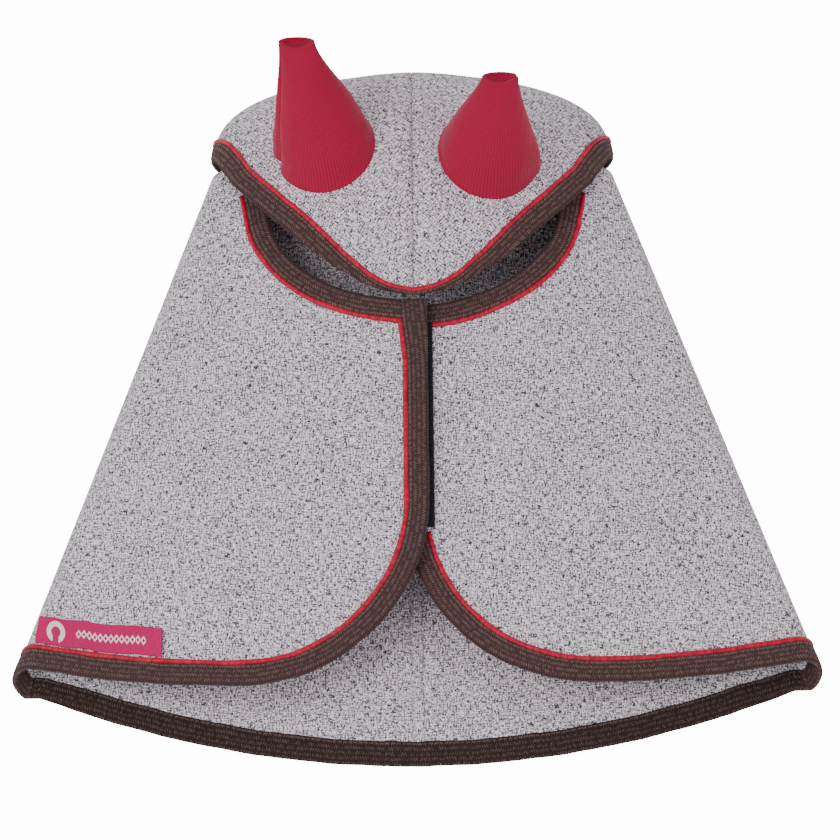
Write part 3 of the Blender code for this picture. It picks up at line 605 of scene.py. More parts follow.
@dataclass(frozen=True)
class Trim:
    """A tape or piping along a cloth's edge.

    place lays a point from its number along the edge and its distance inside the edge.
    outward is 1 where the trim's show side is up the normal of that surface, else -1.
    """

    place: Placer
    stations: int
    length: float
    outward: int = 1
    mirror: int = 1

    def frames(self, insets: Array) -> tuple[Array, Array, Array]:
        """Points, normals and inward ways at every station and inset.

        Args:
            insets: Distances inside the edge: one row for all stations or a row for each.

        Returns:
            Three arrays, stations by insets by x, y and z.
        """
        at = np.arange(self.stations, dtype=float)
        wide = np.broadcast_to(insets, (self.stations, np.shape(insets)[-1]))
        s = np.repeat(at, wide.shape[1])
        d = wide.reshape(-1)
        shape = (*wide.shape, 3)
        here = self.place(s, d).reshape(shape)
        ahead = self.place(s, d + 2e-4).reshape(shape)
        inward = ahead - here
        inward /= np.linalg.norm(inward, axis=2, keepdims=True)
        along = np.gradient(here, axis=0)
        normal = np.cross(along, inward) * self.outward
        normal /= np.linalg.norm(normal, axis=2, keepdims=True)
        return here, normal, inward

    def tape(
        self, name: str, width: Array | float, cloth: float, thickness: float = 0.0011
    ) -> bpy.types.Object:
        """A tape folded over the edge: two soft legs and a round roll at the edge itself.

        The section starts at the show leg's inner end, goes out over the roll and back under,
        and closes through the cloth that it holds.

        Args:
            name: The piece's name.
            width: The show leg's width, one for all stations or one for each.
            cloth: The cloth's thickness.
            thickness: The tape's own thickness.

        Returns:
            The tape.
        """
        wide = np.broadcast_to(np.asarray(width, float), (self.stations,))
        steps = np.array([1.0, 0.985, 0.9, 0.72, 0.5, 0.3, 0.16, 0.07])
        lift = np.array([0.15, 0.85, 1.0, 1.12, 1.18, 1.18, 1.2, 1.12])
        roll = cloth / 2 + 0.9 * thickness
        insets = wide[:, None] * steps + roll * (1 - steps)
        here, normal, inward = self.frames(insets)
        high = (cloth / 2 + thickness * lift)[None, :, None]
        top = here + normal * high
        low = here - normal * (cloth / 2 + thickness * (0.15 + 0.75 * (lift > 0.5)))[None, :, None]
        edge, edge_n, edge_in = self.frames(np.full((self.stations, 1), roll))
        turns = np.linspace(math.pi / 2, -math.pi / 2, 9)[1:-1]
        up = roll * np.sin(turns)[None, :, None] * 1.08
        out = -roll * np.cos(turns)[None, :, None]
        rolled = edge + edge_n * up + edge_in * out
        rings = np.concatenate([top, rolled, low[:, ::-1]], axis=1)
        rings = rings + (self.sway() * 0.00025)[:, None, None] * edge_in
        across = np.concatenate(
            [
                (wide[:, None] * (1 - steps)),
                wide[:, None] + np.linspace(0.0, 0.002, len(turns))[None, :],
                wide[:, None] * (1 + steps[::-1]) + 0.002,
            ],
            axis=1,
        )
        return ring_solid(name, rings, self.unrolled(across), self.mirror)

    def piping(
        self, name: str, inset: Array | float, cloth: float, half: float, height: float
    ) -> bpy.types.Object:
        """Piping on the cloth: a soft flattened tube whose width and line waver a little.

        Args:
            name: The piece's name.
            inset: Its middle's distance inside the edge, one for all stations or one for each.
            cloth: The cloth's thickness.
            half: Half its width.
            height: How far it stands above the cloth.

        Returns:
            The piping.
        """
        sway = self.sway()
        middle = np.broadcast_to(np.asarray(inset, float), (self.stations,)) + 0.0002 * sway
        here, normal, inward = self.frames(middle[:, None])
        turns = np.linspace(0, 2 * math.pi, 15)[:-1]
        wide = half * (1 + 0.10 * np.roll(sway, 7))
        base = cloth / 2 + height * 0.30
        side = wide[:, None, None] * np.cos(turns)[None, :, None]
        up = base + height * 0.70 * np.sin(turns)[None, :, None]
        rings = here + inward * side + normal * up
        across = np.broadcast_to(half * turns, (self.stations, len(turns)))
        return ring_solid(name, rings, self.unrolled(across), self.mirror)

    def sway(self) -> Array:
        """The small sideways waver of a sewn line, at each station."""
        at = np.linspace(0, self.length, self.stations)
        return wobble(at, 0.045, 0.7 + 31 * self.length + self.mirror)

    def unrolled(self, across: Array) -> Array:
        """UV from the distance along the edge and the distance across the trim.

        Args:
            across: Distances across, stations by points.

        Returns:
            Stations by points by U and V.
        """
        along = np.linspace(0, self.length, self.stations)
        along = np.broadcast_to(along[:, None], across.shape)
        return np.stack([along, across], axis=-1)


def edge_trim(
    lay: Layer, path: Array, outward: int, mirror: int, lean: Layer | None = None
) -> Trim:
    """A trim along a path of flat points, with the cloth on the path's left side.

    Args:
        lay: What lays flat points.
        path: The finished edge, as flat points.
        outward: 1 or -1, as in Trim.
        mirror: 1 or -1, as in Trim.
        lean: What gives the outward slide for each unit inwards, from the path's points.

    Returns:
        The trim.
    """
    even = evenly(path, TRIM_STEP)
    way = np.gradient(even, axis=0)
    way /= np.linalg.norm(way, axis=1, keepdims=True)
    inward = np.stack([-way[:, 1], way[:, 0]], axis=1)
    if lean is not None:
        inward[:, 0] += lean(even) * inward[:, 1]

    def place(s: Array, d: Array) -> Array:
        """Lays the point a distance inside the edge at each station."""
        at = s.astype(int)
        return lay(even[at] + inward[at] * d[:, None])

    length = float(np.linalg.norm(np.diff(even, axis=0), axis=1).sum())
    return Trim(place, len(even), length, outward, mirror)


def loft(path: Array, inset: float) -> Array:
    """A path moved to its left by a distance.

    Args:
        path: N rows of flat points.
        inset: The distance.

    Returns:
        The moved path.
    """
    way = np.gradient(path, axis=0)
    way /= np.linalg.norm(way, axis=1, keepdims=True)
    return path + np.stack([-way[:, 1], way[:, 0]], axis=1) * inset


# ------------------------------------------------------------------ finishes


def srgb(red: int, green: int, blue: int) -> tuple[float, float, float, float]:
    """A colour from screen values in 0 to 255.

    Args:
        red: The red value.
        green: The green value.
        blue: The blue value.

    Returns:
        The linear colour with an alpha of 1.
    """
    shares = (v / 255 for v in (red, green, blue))
    linear = [v / 12.92 if v <= 0.04045 else ((v + 0.055) / 1.055) ** 2.4 for v in shares]
    return (linear[0], linear[1], linear[2], 1.0)


class Graph:
    """Adds nodes to a tree, so that a material reads as a list of steps."""

    def __init__(self, tree: bpy.types.NodeTree) -> None:
        """Takes the tree to add to."""
        self.tree = tree

    def node(self, kind: str, **settings: object) -> bpy.types.Node:
        """Adds a node and sets its own properties.

        Args:
            kind: The node's type.
            settings: Its properties by name.

        Returns:
            The node.
        """
        made = self.tree.nodes.new(kind)
        for key, value in settings.items():
            setattr(made, key, value)
        return made

    def put(self, socket: Socket, value: Value) -> None:
        """Joins another node's output to a socket, or sets the socket's value.

        Args:
            socket: The input to fill.
            value: An output, a number or a colour.
        """
        if isinstance(value, bpy.types.NodeSocket):
            self.tree.links.new(value, socket)
        else:
            socket.default_value = value

    def calc(
        self, operation: str, a: Value, b: Value = 0.0, c: Value = 0.0, clamp: bool = False
    ) -> Socket:
        """A Math node's output.

        Args:
            operation: The node's operation.
            a: The first input.
            b: The second input.
            c: The third input, which only some operations read.
            clamp: Whether the output stays in 0 to 1.

        Returns:
            The output.
        """
        made = self.node("ShaderNodeMath", operation=operation, use_clamp=clamp)
        for socket, value in zip(made.inputs, (a, b, c)):
            self.put(socket, value)
        return made.outputs[0]

    def span(self, value: Value, low: float, high: float) -> Socket:
        """How far a value is from low to high, held in 0 to 1 and eased.

        Args:
            value: The value.
            low: Where the output is 0.
            high: Where it is 1.

        Returns:
            The output.
        """
        made = self.node("ShaderNodeMapRange", interpolation_type="SMOOTHSTEP")
        self.put(made.inputs["Value"], value)
        made.inputs["From Min"].default_value = low
        made.inputs["From Max"].default_value = high
        return made.outputs["Result"]

    def scaled(self, vector: Socket, x: float, y: float) -> Socket:
        """A flat vector stretched along X and Y.

        Args:
            vector: The vector.
            x: Its factor along X.
            y: Its factor along Y.

        Returns:
            The output, with a Z of 0.
        """
        made = self.node("ShaderNodeVectorMath", operation="MULTIPLY")
        self.put(made.inputs[0], vector)
        made.inputs[1].default_value = (x, y, 0.0)
        return made.outputs[0]

    def noise(self, vector: Socket, scale: float = 1.0, detail: float = 2.0) -> Socket:
        """A noise texture's value.

        Args:
            vector: Where it is read.
            scale: How many lumps there are to a unit.
            detail: How many finer layers it has.

        Returns:
            The output.
        """
        made = self.node("ShaderNodeTexNoise")
        self.put(made.inputs["Vector"], vector)
        made.inputs["Scale"].default_value = scale
        made.inputs["Detail"].default_value = detail
        return made.outputs["Fac"]

    def mix(self, share: Value, a: Value, b: Value) -> Socket:
        """A mix of two colours.

        Args:
            share: How much of the second there is.
            a: The first colour.
            b: The second colour.

        Returns:
            The output.
        """
        made = self.node("ShaderNodeMix", data_type="RGBA")
        self.put(made.inputs["Factor"], share)
        self.put(made.inputs["A"], a)
        self.put(made.inputs["B"], b)
        return made.outputs["Result"]

    def parts(self, vector: Socket) -> list[Socket]:
        """A vector's X, Y and Z.

        Args:
            vector: The vector.

        Returns:
            The three outputs.
        """
        made = self.node("ShaderNodeSeparateXYZ")
        self.put(made.inputs[0], vector)
        return list(made.outputs)

    def bump(
        self, height: Value, distance: float, strength: float = 1.0, normal: Socket | None = None
    ) -> Socket:
        """A bump's normal, from a height in 0 to 1 and a distance in metres.

        Args:
            height: The height.
            distance: How far a height of 1 stands up.
            strength: How strongly it shows.
            normal: A normal to start from, if any.

        Returns:
            The output.
        """
        made = self.node("ShaderNodeBump")
        self.put(made.inputs["Height"], height)
        made.inputs["Distance"].default_value = distance
        made.inputs["Strength"].default_value = strength
        if normal is not None:
            self.put(made.inputs["Normal"], normal)
        return made.outputs["Normal"]

    def group(self, tree: bpy.types.NodeTree, **inputs: Value) -> bpy.types.Node:
        """Adds a shared group with its inputs set by name.

        Args:
            tree: The group's tree.
            inputs: The inputs by name.

        Returns:
            The group's node.
        """
        made = self.node("ShaderNodeGroup")
        made.node_tree = tree
        for key, value in inputs.items():
            self.put(made.inputs[key], value)
        return made


def shared(name: str, inputs: dict, outputs: dict, steps: Callable) -> bpy.types.NodeTree:
    """A node group, made once and used by every material that names it.

    Args:
        name: The group's name.
        inputs: Socket kinds by name.
        outputs: Socket kinds by name.
        steps: Takes a Graph and the inputs by name, and returns the outputs by name.

    Returns:
        The group's tree.
    """
    found = bpy.data.node_groups.get(name)
    if found:
        return found
    tree = bpy.data.node_groups.new(name, "ShaderNodeTree")
    for way, sockets in (("INPUT", inputs), ("OUTPUT", outputs)):
        for key, kind in sockets.items():
            tree.interface.new_socket(name=key, in_out=way, socket_type=kind)
    graph = Graph(tree)
    entry = graph.node("NodeGroupInput")
    leave = graph.node("NodeGroupOutput")
    made = steps(graph, {key: entry.outputs[key] for key in inputs})
    for key, value in made.items():
        graph.put(leave.inputs[key], value)
    return tree


FLOAT, VECTOR, COLOUR = "NodeSocketFloat", "NodeSocketVector", "NodeSocketColor"


def canvas_weave() -> bpy.types.NodeTree:
    """Plain weave: threads over and under in turn, a metre of Place being a metre of cloth.

    Returns:
        The group's tree.
    """

    def steps(g: Graph, given: dict) -> dict:
        """Two sines crossed, with threads that drift a little."""
        drift = g.noise(given["Place"], 90.0, 1.0)
        x, y, _ = g.parts(given["Place"])
        turn = g.calc("DIVIDE", math.tau, given["Pitch"])
        across = g.calc("ADD", g.calc("MULTIPLY", x, turn), g.calc("MULTIPLY", drift, 2.0))
        along = g.calc("ADD", g.calc("MULTIPLY", y, turn), g.calc("MULTIPLY", drift, 1.4))
        over = g.calc("MULTIPLY", g.calc("SINE", across), g.calc("SINE", along))
        height = g.calc("MULTIPLY_ADD", over, 0.5, 0.5)
        return {"Height": height, "Over": g.span(over, -0.15, 0.15)}

    sockets = {"Place": VECTOR, "Pitch": FLOAT}
    return shared("Canvas weave", sockets, {"Height": FLOAT, "Over": FLOAT}, steps)


def melange_slubs() -> bpy.types.NodeTree:
    """Mixed yarn: short dark and light lengths along whichever thread is on top.

    Returns:
        The group's tree.
    """

    def steps(g: Graph, given: dict) -> dict:
        """Dark and light lengths where the noise along the top thread is low or high."""
        warp = g.noise(g.scaled(given["Place"], 1300, 270), 1.0, 1.0)
        weft = g.noise(g.scaled(given["Place"], 250, 1400), 1.0, 1.0)
        pick = g.mix(given["Over"], weft, warp)
        cloud = g.noise(given["Place"], 38.0, 2.0)
        shade = g.mix(g.span(cloud, 0.35, 0.7), given["Base"], given["Shade"])
        dark = g.mix(g.calc("MULTIPLY", g.span(pick, 0.50, 0.40), 0.94), shade, given["Dark"])
        light = g.mix(g.calc("MULTIPLY", g.span(pick, 0.505, 0.585), 0.95), dark, given["Light"])
        return {"Colour": light, "Slub": g.span(pick, 0.3, 0.7)}

    kinds = {"Place": VECTOR, "Over": FLOAT, "Base": COLOUR, "Shade": COLOUR}
    kinds |= {"Dark": COLOUR, "Light": COLOUR}
    return shared("Melange slubs", kinds, {"Colour": COLOUR, "Slub": FLOAT}, steps)


def braided_tape() -> bpy.types.NodeTree:
    """Braid: rows of slanted ribs that turn at each row's edge, with some ribs of paler yarn.

    Returns:
        The group's tree.
    """

    def steps(g: Graph, given: dict) -> dict:
        """A sine along the tape whose phase zigzags across the rows."""
        along, across, _ = g.parts(given["Place"])
        row = g.calc("DIVIDE", across, given["Row"])
        zig = g.calc("PINGPONG", row, 1.0)
        slant = g.calc("MULTIPLY", zig, 0.0014)
        turn = g.calc("MULTIPLY", g.calc("ADD", along, slant), math.tau / 0.0015)
        rib = g.calc("MULTIPLY_ADD", g.calc("SINE", turn), 0.5, 0.5)
        crest = g.calc("SINE", g.calc("MULTIPLY", zig, math.pi))
        height = g.calc("MULTIPLY_ADD", rib, 0.7, 0.3)
        height = g.calc("MULTIPLY", height, g.calc("ADD", crest, 0.45))
        speck = g.noise(g.scaled(given["Place"], 520, 330), 1.0, 1.0)
        fleck = g.calc("MULTIPLY", g.span(speck, 0.36, 0.62), g.span(height, 0.55, 1.1))
        return {"Height": height, "Fleck": fleck}

    kinds = {"Place": VECTOR, "Row": FLOAT}
    return shared("Braided tape", kinds, {"Height": FLOAT, "Fleck": FLOAT}, steps)


def stitch_row() -> bpy.types.NodeTree:
    """A row of stitches: dashes along one line across the piece.

    Returns:
        The group's tree.
    """

    def steps(g: Graph, given: dict) -> dict:
        """Dashes of thread in a furrow."""
        along, across, _ = g.parts(given["Place"])
        off = g.calc("ABSOLUTE", g.calc("SUBTRACT", across, given["At"]))
        line = g.span(off, 0.00055, 0.00022)
        share = g.calc("FRACT", g.calc("DIVIDE", along, given["Step"]))
        dash = g.calc("MULTIPLY", g.span(share, 0.06, 0.2), g.span(share, 0.86, 0.72))
        return {"Thread": g.calc("MULTIPLY", line, dash), "Furrow": g.span(off, 0.0011, 0.0003)}

    kinds = {"Place": VECTOR, "At": FLOAT, "Step": FLOAT}
    return shared("Stitch row", kinds, {"Thread": FLOAT, "Furrow": FLOAT}, steps)


def lint() -> bpy.types.NodeTree:
    """Fine fuzz and handling marks: paler fibres over a colour, more where a soft wear noise is high.

    Returns:
        The group's tree.
    """

    def steps(g: Graph, given: dict) -> dict:
        """Stretched noise for the fibres, soft noise for the wear."""
        hair = g.span(g.noise(g.scaled(given["Place"], 700, 1900), 1.0, 3.0), 0.60, 0.74)
        worn = g.noise(given["Place"], 55.0, 3.0)
        share = g.calc("MULTIPLY", g.calc("MULTIPLY", hair, worn), given["Amount"])
        return {"Colour": g.mix(share, given["Colour"], given["Fuzz"])}

    kinds = {"Place": VECTOR, "Colour": COLOUR, "Fuzz": COLOUR, "Amount": FLOAT}
    return shared("Lint", kinds, {"Colour": COLOUR}, steps)


@dataclass(frozen=True)
class Finish:
    """A material on the Principled shader. Each kind of finish adds its own steps."""

    name: str
    base: tuple[float, float, float, float]
    roughness: float = 0.85
    sheen: float = 0.0

    def material(self) -> bpy.types.Material:
        """The finish's material, made at its first use.

        Returns:
            The material.
        """
        found = bpy.data.materials.get(self.name)
        if found:
            return found
        made = bpy.data.materials.new(self.name)
        made.use_nodes = True
        graph = Graph(made.node_tree)
        shader = made.node_tree.nodes["Principled BSDF"]
        shader.inputs["Roughness"].default_value = self.roughness
        shader.inputs["Sheen Weight"].default_value = self.sheen
        shader.inputs["Sheen Roughness"].default_value = 0.45
        shader.inputs["Specular IOR Level"].default_value = 0.25
        place = graph.node("ShaderNodeUVMap", uv_map="UVMap").outputs[0]
        self.steps(graph, shader, place)
        return made

    def steps(self, g: Graph, shader: bpy.types.Node, place: bpy.types.NodeSocket) -> None:
        """The plain base colour, which each kind of finish replaces with its own colour and bump.

        Args:
            g: The material's graph.
            shader: Its Principled shader.
            place: The piece's UV, in metres; not used here.
        """
        g.put(shader.inputs["Base Color"], self.base)

    def onto(self, obj: bpy.types.Object) -> bpy.types.Object:
        """Gives an object this finish alone.

        Args:
            obj: The object.

        Returns:
            The object.
        """
        obj.data.materials.clear()
        obj.data.materials.append(self.material())
        return obj


@dataclass(frozen=True)
class MelangeCanvas(Finish):
    """Grey canvas of mixed yarn. turn is the weave's angle to the piece's chart."""

    shade: tuple = srgb(176, 163, 177)
    dark: tuple = srgb(26, 23, 31)
    light: tuple = srgb(255, 245, 254)
    pitch: float = 0.0021
    turn: float = 0.0
    relief: float = 0.00022

    def steps(self, g: Graph, shader: bpy.types.Node, place: bpy.types.NodeSocket) -> None:
        """Weave, slubs, painted shade in the weave's gaps, a soft rumple and fuzz.

        Args:
            g: The material's graph.
            shader: Its Principled shader.
            place: The piece's UV, in metres.
        """
        turned = g.node("ShaderNodeVectorRotate", rotation_type="Z_AXIS")
        g.put(turned.inputs["Vector"], place)
        turned.inputs["Angle"].default_value = self.turn
        cloth = turned.outputs[0]
        weave = g.group(canvas_weave(), Place=cloth, Pitch=self.pitch)
        yarn = {"Base": self.base, "Shade": self.shade, "Dark": self.dark, "Light": self.light}
        slubs = g.group(melange_slubs(), Place=cloth, Over=weave.outputs["Over"], **yarn)
        # Painted shade: the gaps between the weave's threads are mixed towards the dark yarn colour.
        gap_shade = g.span(weave.outputs["Height"], 0.62, 0.42)
        gap_shade = g.calc("MULTIPLY", gap_shade, g.span(weave.outputs["Height"], 0.30, 0.46))
        colour = g.mix(g.calc("MULTIPLY", gap_shade, 0.30), slubs.outputs["Colour"], self.dark)
        fuzz = g.group(lint(), Place=place, Colour=colour, Fuzz=self.light, Amount=0.25)
        g.put(shader.inputs["Base Color"], fuzz.outputs["Colour"])
        rumple = g.bump(g.noise(place, 30.0, 2.0), 0.0024, 0.45)
        yarns = g.calc("ADD", weave.outputs["Height"], slubs.outputs["Slub"])
        g.put(shader.inputs["Normal"], g.bump(yarns, self.relief, 0.7, rumple))


@dataclass(frozen=True)
class BraidTape(Finish):
    """Brown knitted binding tape with tan flecks, and a stitch line near its inner edge."""

    fleck: tuple = srgb(146, 122, 112)
    fleck_share: float = 0.42
    row: float = 0.0031
    stitch_at: float = 0.0017

    def steps(self, g: Graph, shader: bpy.types.Node, place: bpy.types.NodeSocket) -> None:
        """Braid with painted shade in its grooves, flecks, stitches and fuzz.

        Args:
            g: The material's graph.
            shader: Its Principled shader.
            place: The piece's UV, in metres.
        """
        braid = g.group(braided_tape(), Place=place, Row=self.row)
        row = g.group(stitch_row(), Place=place, At=self.stitch_at, Step=0.0032)
        height = braid.outputs["Height"]
        # Painted shade: the braid's low grooves are mixed towards a near-black brown.
        deep = g.mix(g.span(height, 0.5, 0.05), self.base, srgb(20, 11, 11))
        share = g.calc("MULTIPLY", braid.outputs["Fleck"], self.fleck_share)
        colour = g.mix(share, deep, self.fleck)
        colour = g.mix(g.calc("MULTIPLY", row.outputs["Thread"], 0.55), colour, srgb(120, 92, 84))
        fuzz = g.group(lint(), Place=place, Colour=colour, Fuzz=srgb(120, 92, 84), Amount=0.3)
        g.put(shader.inputs["Base Color"], fuzz.outputs["Colour"])
        rise = g.calc("SUBTRACT", height, g.calc("MULTIPLY", row.outputs["Furrow"], 0.9))
        g.put(shader.inputs["Normal"], g.bump(rise, 0.00045, 0.9))


@dataclass(frozen=True)
class Satin(Finish):
    """Satin piping: fine slanted threads with a sheen, and slow gathers with painted shade in their
    hollows.
    """

    def steps(self, g: Graph, shader: bpy.types.Node, place: bpy.types.NodeSocket) -> None:
        """Threads, and gathers with painted shade in their hollows.

        Args:
            g: The material's graph.
            shader: Its Principled shader.
            place: The piece's UV, in metres.
        """
        along, across, _ = g.parts(place)
        slant = g.calc("ADD", along, g.calc("MULTIPLY", across, 0.8))
        thread = g.calc("SINE", g.calc("MULTIPLY", slant, math.tau / 0.0007))
        gather_and_shade = g.noise(g.scaled(place, 420, 90), 1.0, 2.0)
        # Painted shade: the colour darkens towards a deeper red in the gathers' hollows, read from the
        # same noise as their bump.
        colour = g.mix(g.span(gather_and_shade, 0.3, 0.7), srgb(146, 0, 36), self.base)
        g.put(shader.inputs["Base Color"], colour)
        fine = g.bump(thread, 0.00006, 0.5)
        g.put(shader.inputs["Normal"], g.bump(gather_and_shade, 0.0008, 0.6, fine))


@dataclass(frozen=True)
class RibKnit(Finish):
    """Ribbed knit: fine upright ribs of small loops, with painted shade darkening the grooves between
    them.
    """

    rib: float = 0.0014

    def steps(self, g: Graph, shader: bpy.types.Node, place: bpy.types.NodeSocket) -> None:
        """Ribs, loops, painted shade between the ribs, and pilling.

        Args:
            g: The material's graph.
            shader: Its Principled shader.
            place: The piece's UV, in metres.
        """
        across, along, _ = g.parts(place)
        drift = g.calc("MULTIPLY", g.noise(g.scaled(place, 60, 14), 1.0, 1.0), 3.0)
        turn = g.calc("ADD", g.calc("MULTIPLY", across, math.tau / self.rib), drift)
        rib = g.calc("ABSOLUTE", g.calc("SINE", g.calc("MULTIPLY", turn, 0.5)))
        loop = g.calc("ABSOLUTE", g.calc("SINE", g.calc("MULTIPLY", along, math.pi / 0.0011)))
        height = g.calc("MULTIPLY", rib, g.calc("MULTIPLY_ADD", loop, 0.3, 0.7))
        pill = g.noise(place, 1500.0, 3.0)
        # Painted shade: the knit's low grooves between the ribs are mixed towards a darker crimson.
        deep = g.mix(g.span(height, 0.55, 0.1), self.base, srgb(138, 4, 42))
        colour = g.mix(g.calc("MULTIPLY", g.span(pill, 0.52, 0.72), 0.22), deep, srgb(190, 40, 72))
        fuzz = g.group(lint(), Place=place, Colour=colour, Fuzz=srgb(200, 80, 104), Amount=0.35)
        g.put(shader.inputs["Base Color"], fuzz.outputs["Colour"])
        soft = g.bump(g.noise(place, 90.0, 2.0), 0.002, 0.5)
        g.put(shader.inputs["Normal"], g.bump(height, 0.0003, 0.5, soft))


@dataclass(frozen=True)
class Pile(Finish):
    """Hook-and-loop tape: a dense dark pile."""

    def steps(self, g: Graph, shader: bpy.types.Node, place: bpy.types.NodeSocket) -> None:
        """Pile tips and their shadows.

        Args:
            g: The material's graph.
            shader: Its Principled shader.
            place: The piece's UV, in metres.
        """
        tuft = g.noise(place, 1400.0, 3.0)
        g.put(shader.inputs["Base Color"], g.mix(g.span(tuft, 0.45, 0.75), self.base, srgb(66, 64, 84)))
        g.put(shader.inputs["Normal"], g.bump(tuft, 0.0006, 1.0))


@dataclass(frozen=True)
class WovenLabel(Finish):
    """A woven label with a plain horseshoe and a row of diamonds."""

    length: float = 0.0755
    width: float = 0.017
    mark: tuple = srgb(244, 226, 236)

    def steps(self, g: Graph, shader: bpy.types.Node, place: bpy.types.NodeSocket) -> None:
        """Motifs, each a distance held near a value, over fine ribs.

        Args:
            g: The material's graph.
            shader: Its Principled shader.
            place: The piece's UV, in metres.
        """
        x, y, _ = g.parts(place)
        middle = g.calc("SUBTRACT", y, self.width / 2)
        side = g.calc("ABSOLUTE", middle)
        cell = g.calc("SUBTRACT", g.calc("PINGPONG", g.calc("SUBTRACT", x, 0.0245), 0.0032), 0.0016)
        diamond = g.calc("ADD", g.calc("MULTIPLY", g.calc("ABSOLUTE", cell), 1.5), side)
        row = g.span(diamond, 0.0030, 0.0026)
        row = g.calc("SUBTRACT", row, g.span(diamond, 0.0016, 0.0012), clamp=True)
        row = g.calc("MULTIPLY", row, g.span(x, 0.0243, 0.0246))
        row = g.calc("MULTIPLY", row, g.span(x, 0.0660, 0.0657))
        off = g.calc("SUBTRACT", x, 0.0125)
        wide = g.calc("ABSOLUTE", off)
        tall = g.calc("MULTIPLY", middle, 0.85)
        away = g.calc("SQRT", g.calc("ADD", g.calc("POWER", off, 2.0), g.calc("POWER", tall, 2.0)))
        shoe = g.span(g.calc("ABSOLUTE", g.calc("SUBTRACT", away, 0.0042)), 0.0015, 0.0012)
        gap = g.calc("MULTIPLY", g.span(middle, -0.0006, -0.0012), g.span(wide, 0.0020, 0.0016))
        shoe = g.calc("SUBTRACT", shoe, gap, clamp=True)
        mark = g.calc("MAXIMUM", row, shoe)
        rib = g.calc("SINE", g.calc("MULTIPLY", x, math.tau / 0.0006))
        weave = g.noise(g.scaled(place, 500, 2600), 1.0, 1.0)
        ground = g.mix(g.span(weave, 0.4, 0.7), self.base, srgb(160, 20, 84))
        g.put(shader.inputs["Base Color"], g.mix(g.calc("MULTIPLY", mark, 0.9), ground, self.mark))
        g.put(shader.inputs["Normal"], g.bump(g.calc("ADD", rib, mark), 0.0001, 0.6))


@dataclass(frozen=True)
class Backdrop(Finish):
    """Pale card with a faint tooth, lit from behind as seen by the camera."""

    glow: float = 14.0

    def steps(self, g: Graph, shader: bpy.types.Node, place: bpy.types.NodeSocket) -> None:
        """Faint clouds of tone.

        Args:
            g: The material's graph.
            shader: Its Principled shader.
            place: The piece's UV, in metres.
        """
        tooth = g.noise(place, 9.0, 2.0)
        tone = g.mix(g.span(tooth, 0.3, 0.7), self.base, srgb(250, 249, 248))
        g.put(shader.inputs["Base Color"], tone)
        g.put(shader.inputs["Emission Color"], tone)
        seen = g.node("ShaderNodeLightPath").outputs["Is Camera Ray"]
        g.put(shader.inputs["Emission Strength"], g.calc("MULTIPLY", seen, self.glow))


CAPE_CANVAS = MelangeCanvas("grey_canvas", srgb(200, 187, 201), 0.9, 0.1, turn=math.radians(4))
HOOD_CANVAS = MelangeCanvas("grey_canvas_bias", srgb(200, 187, 201), 0.9, 0.1, turn=math.radians(40))
LINING = MelangeCanvas("grey_canvas_inside", srgb(198, 184, 194), 0.55, 0.3, relief=0.00012)
TAPE = BraidTape("brown_binding", srgb(66, 44, 44), 0.88, 0.05)
PLACKET_TAPE = BraidTape("brown_binding_front", srgb(66, 45, 46), 0.88, 0.05, fleck_share=0.36)
# The back hem's binding is the same brown tape, its base colour darkened as painted shade.
SHADED_HEM_TAPE = BraidTape("brown_binding_back_shaded", srgb(46, 30, 30), 0.9, 0.0, fleck_share=0.3, row=0.0034)
SATIN = Satin("red_piping", srgb(196, 4, 52), 0.38, 0.05)
EAR_KNIT = RibKnit("crimson_knit", srgb(164, 8, 56), 0.9, 0.12)
PILE = Pile("navy_pile", srgb(12, 11, 22), 0.9, 0.05)
LABEL = WovenLabel("magenta_weave", srgb(196, 0, 92), 0.65, 0.05)
CARD = Backdrop("pale_card", srgb(253, 252, 251), 0.95)


# ------------------------------------------------------------------ pieces


@dataclass(frozen=True)
class Hinges:
    """Where the flaps' and the forehead's soft hinges lie, in plan."""

    foot_x: float = 0.2212
    head_x: float = 0.104
    brow_y: float = 0.333
    outboard: float = 0.007
    inboard: float = 0.010
    low: float = 0.018
    high: float = 0.045
    brow_half: float = 0.012
    brow_level: float = 0.07

    def with_flap(self, obj: bpy.types.Object) -> bpy.types.Object:
        """Bakes a piece's transform into its mesh; it does not bend the piece between the cape and a
        flap.

        Args:
            obj: The finished piece.

        Returns:
            The piece.
        """
        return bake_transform(obj)

    def with_forehead(self, obj: bpy.types.Object) -> bpy.types.Object:
        """Bakes a piece's transform into its mesh; it does not bend the piece across the brow line."""
        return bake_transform(obj)


HINGES = Hinges()


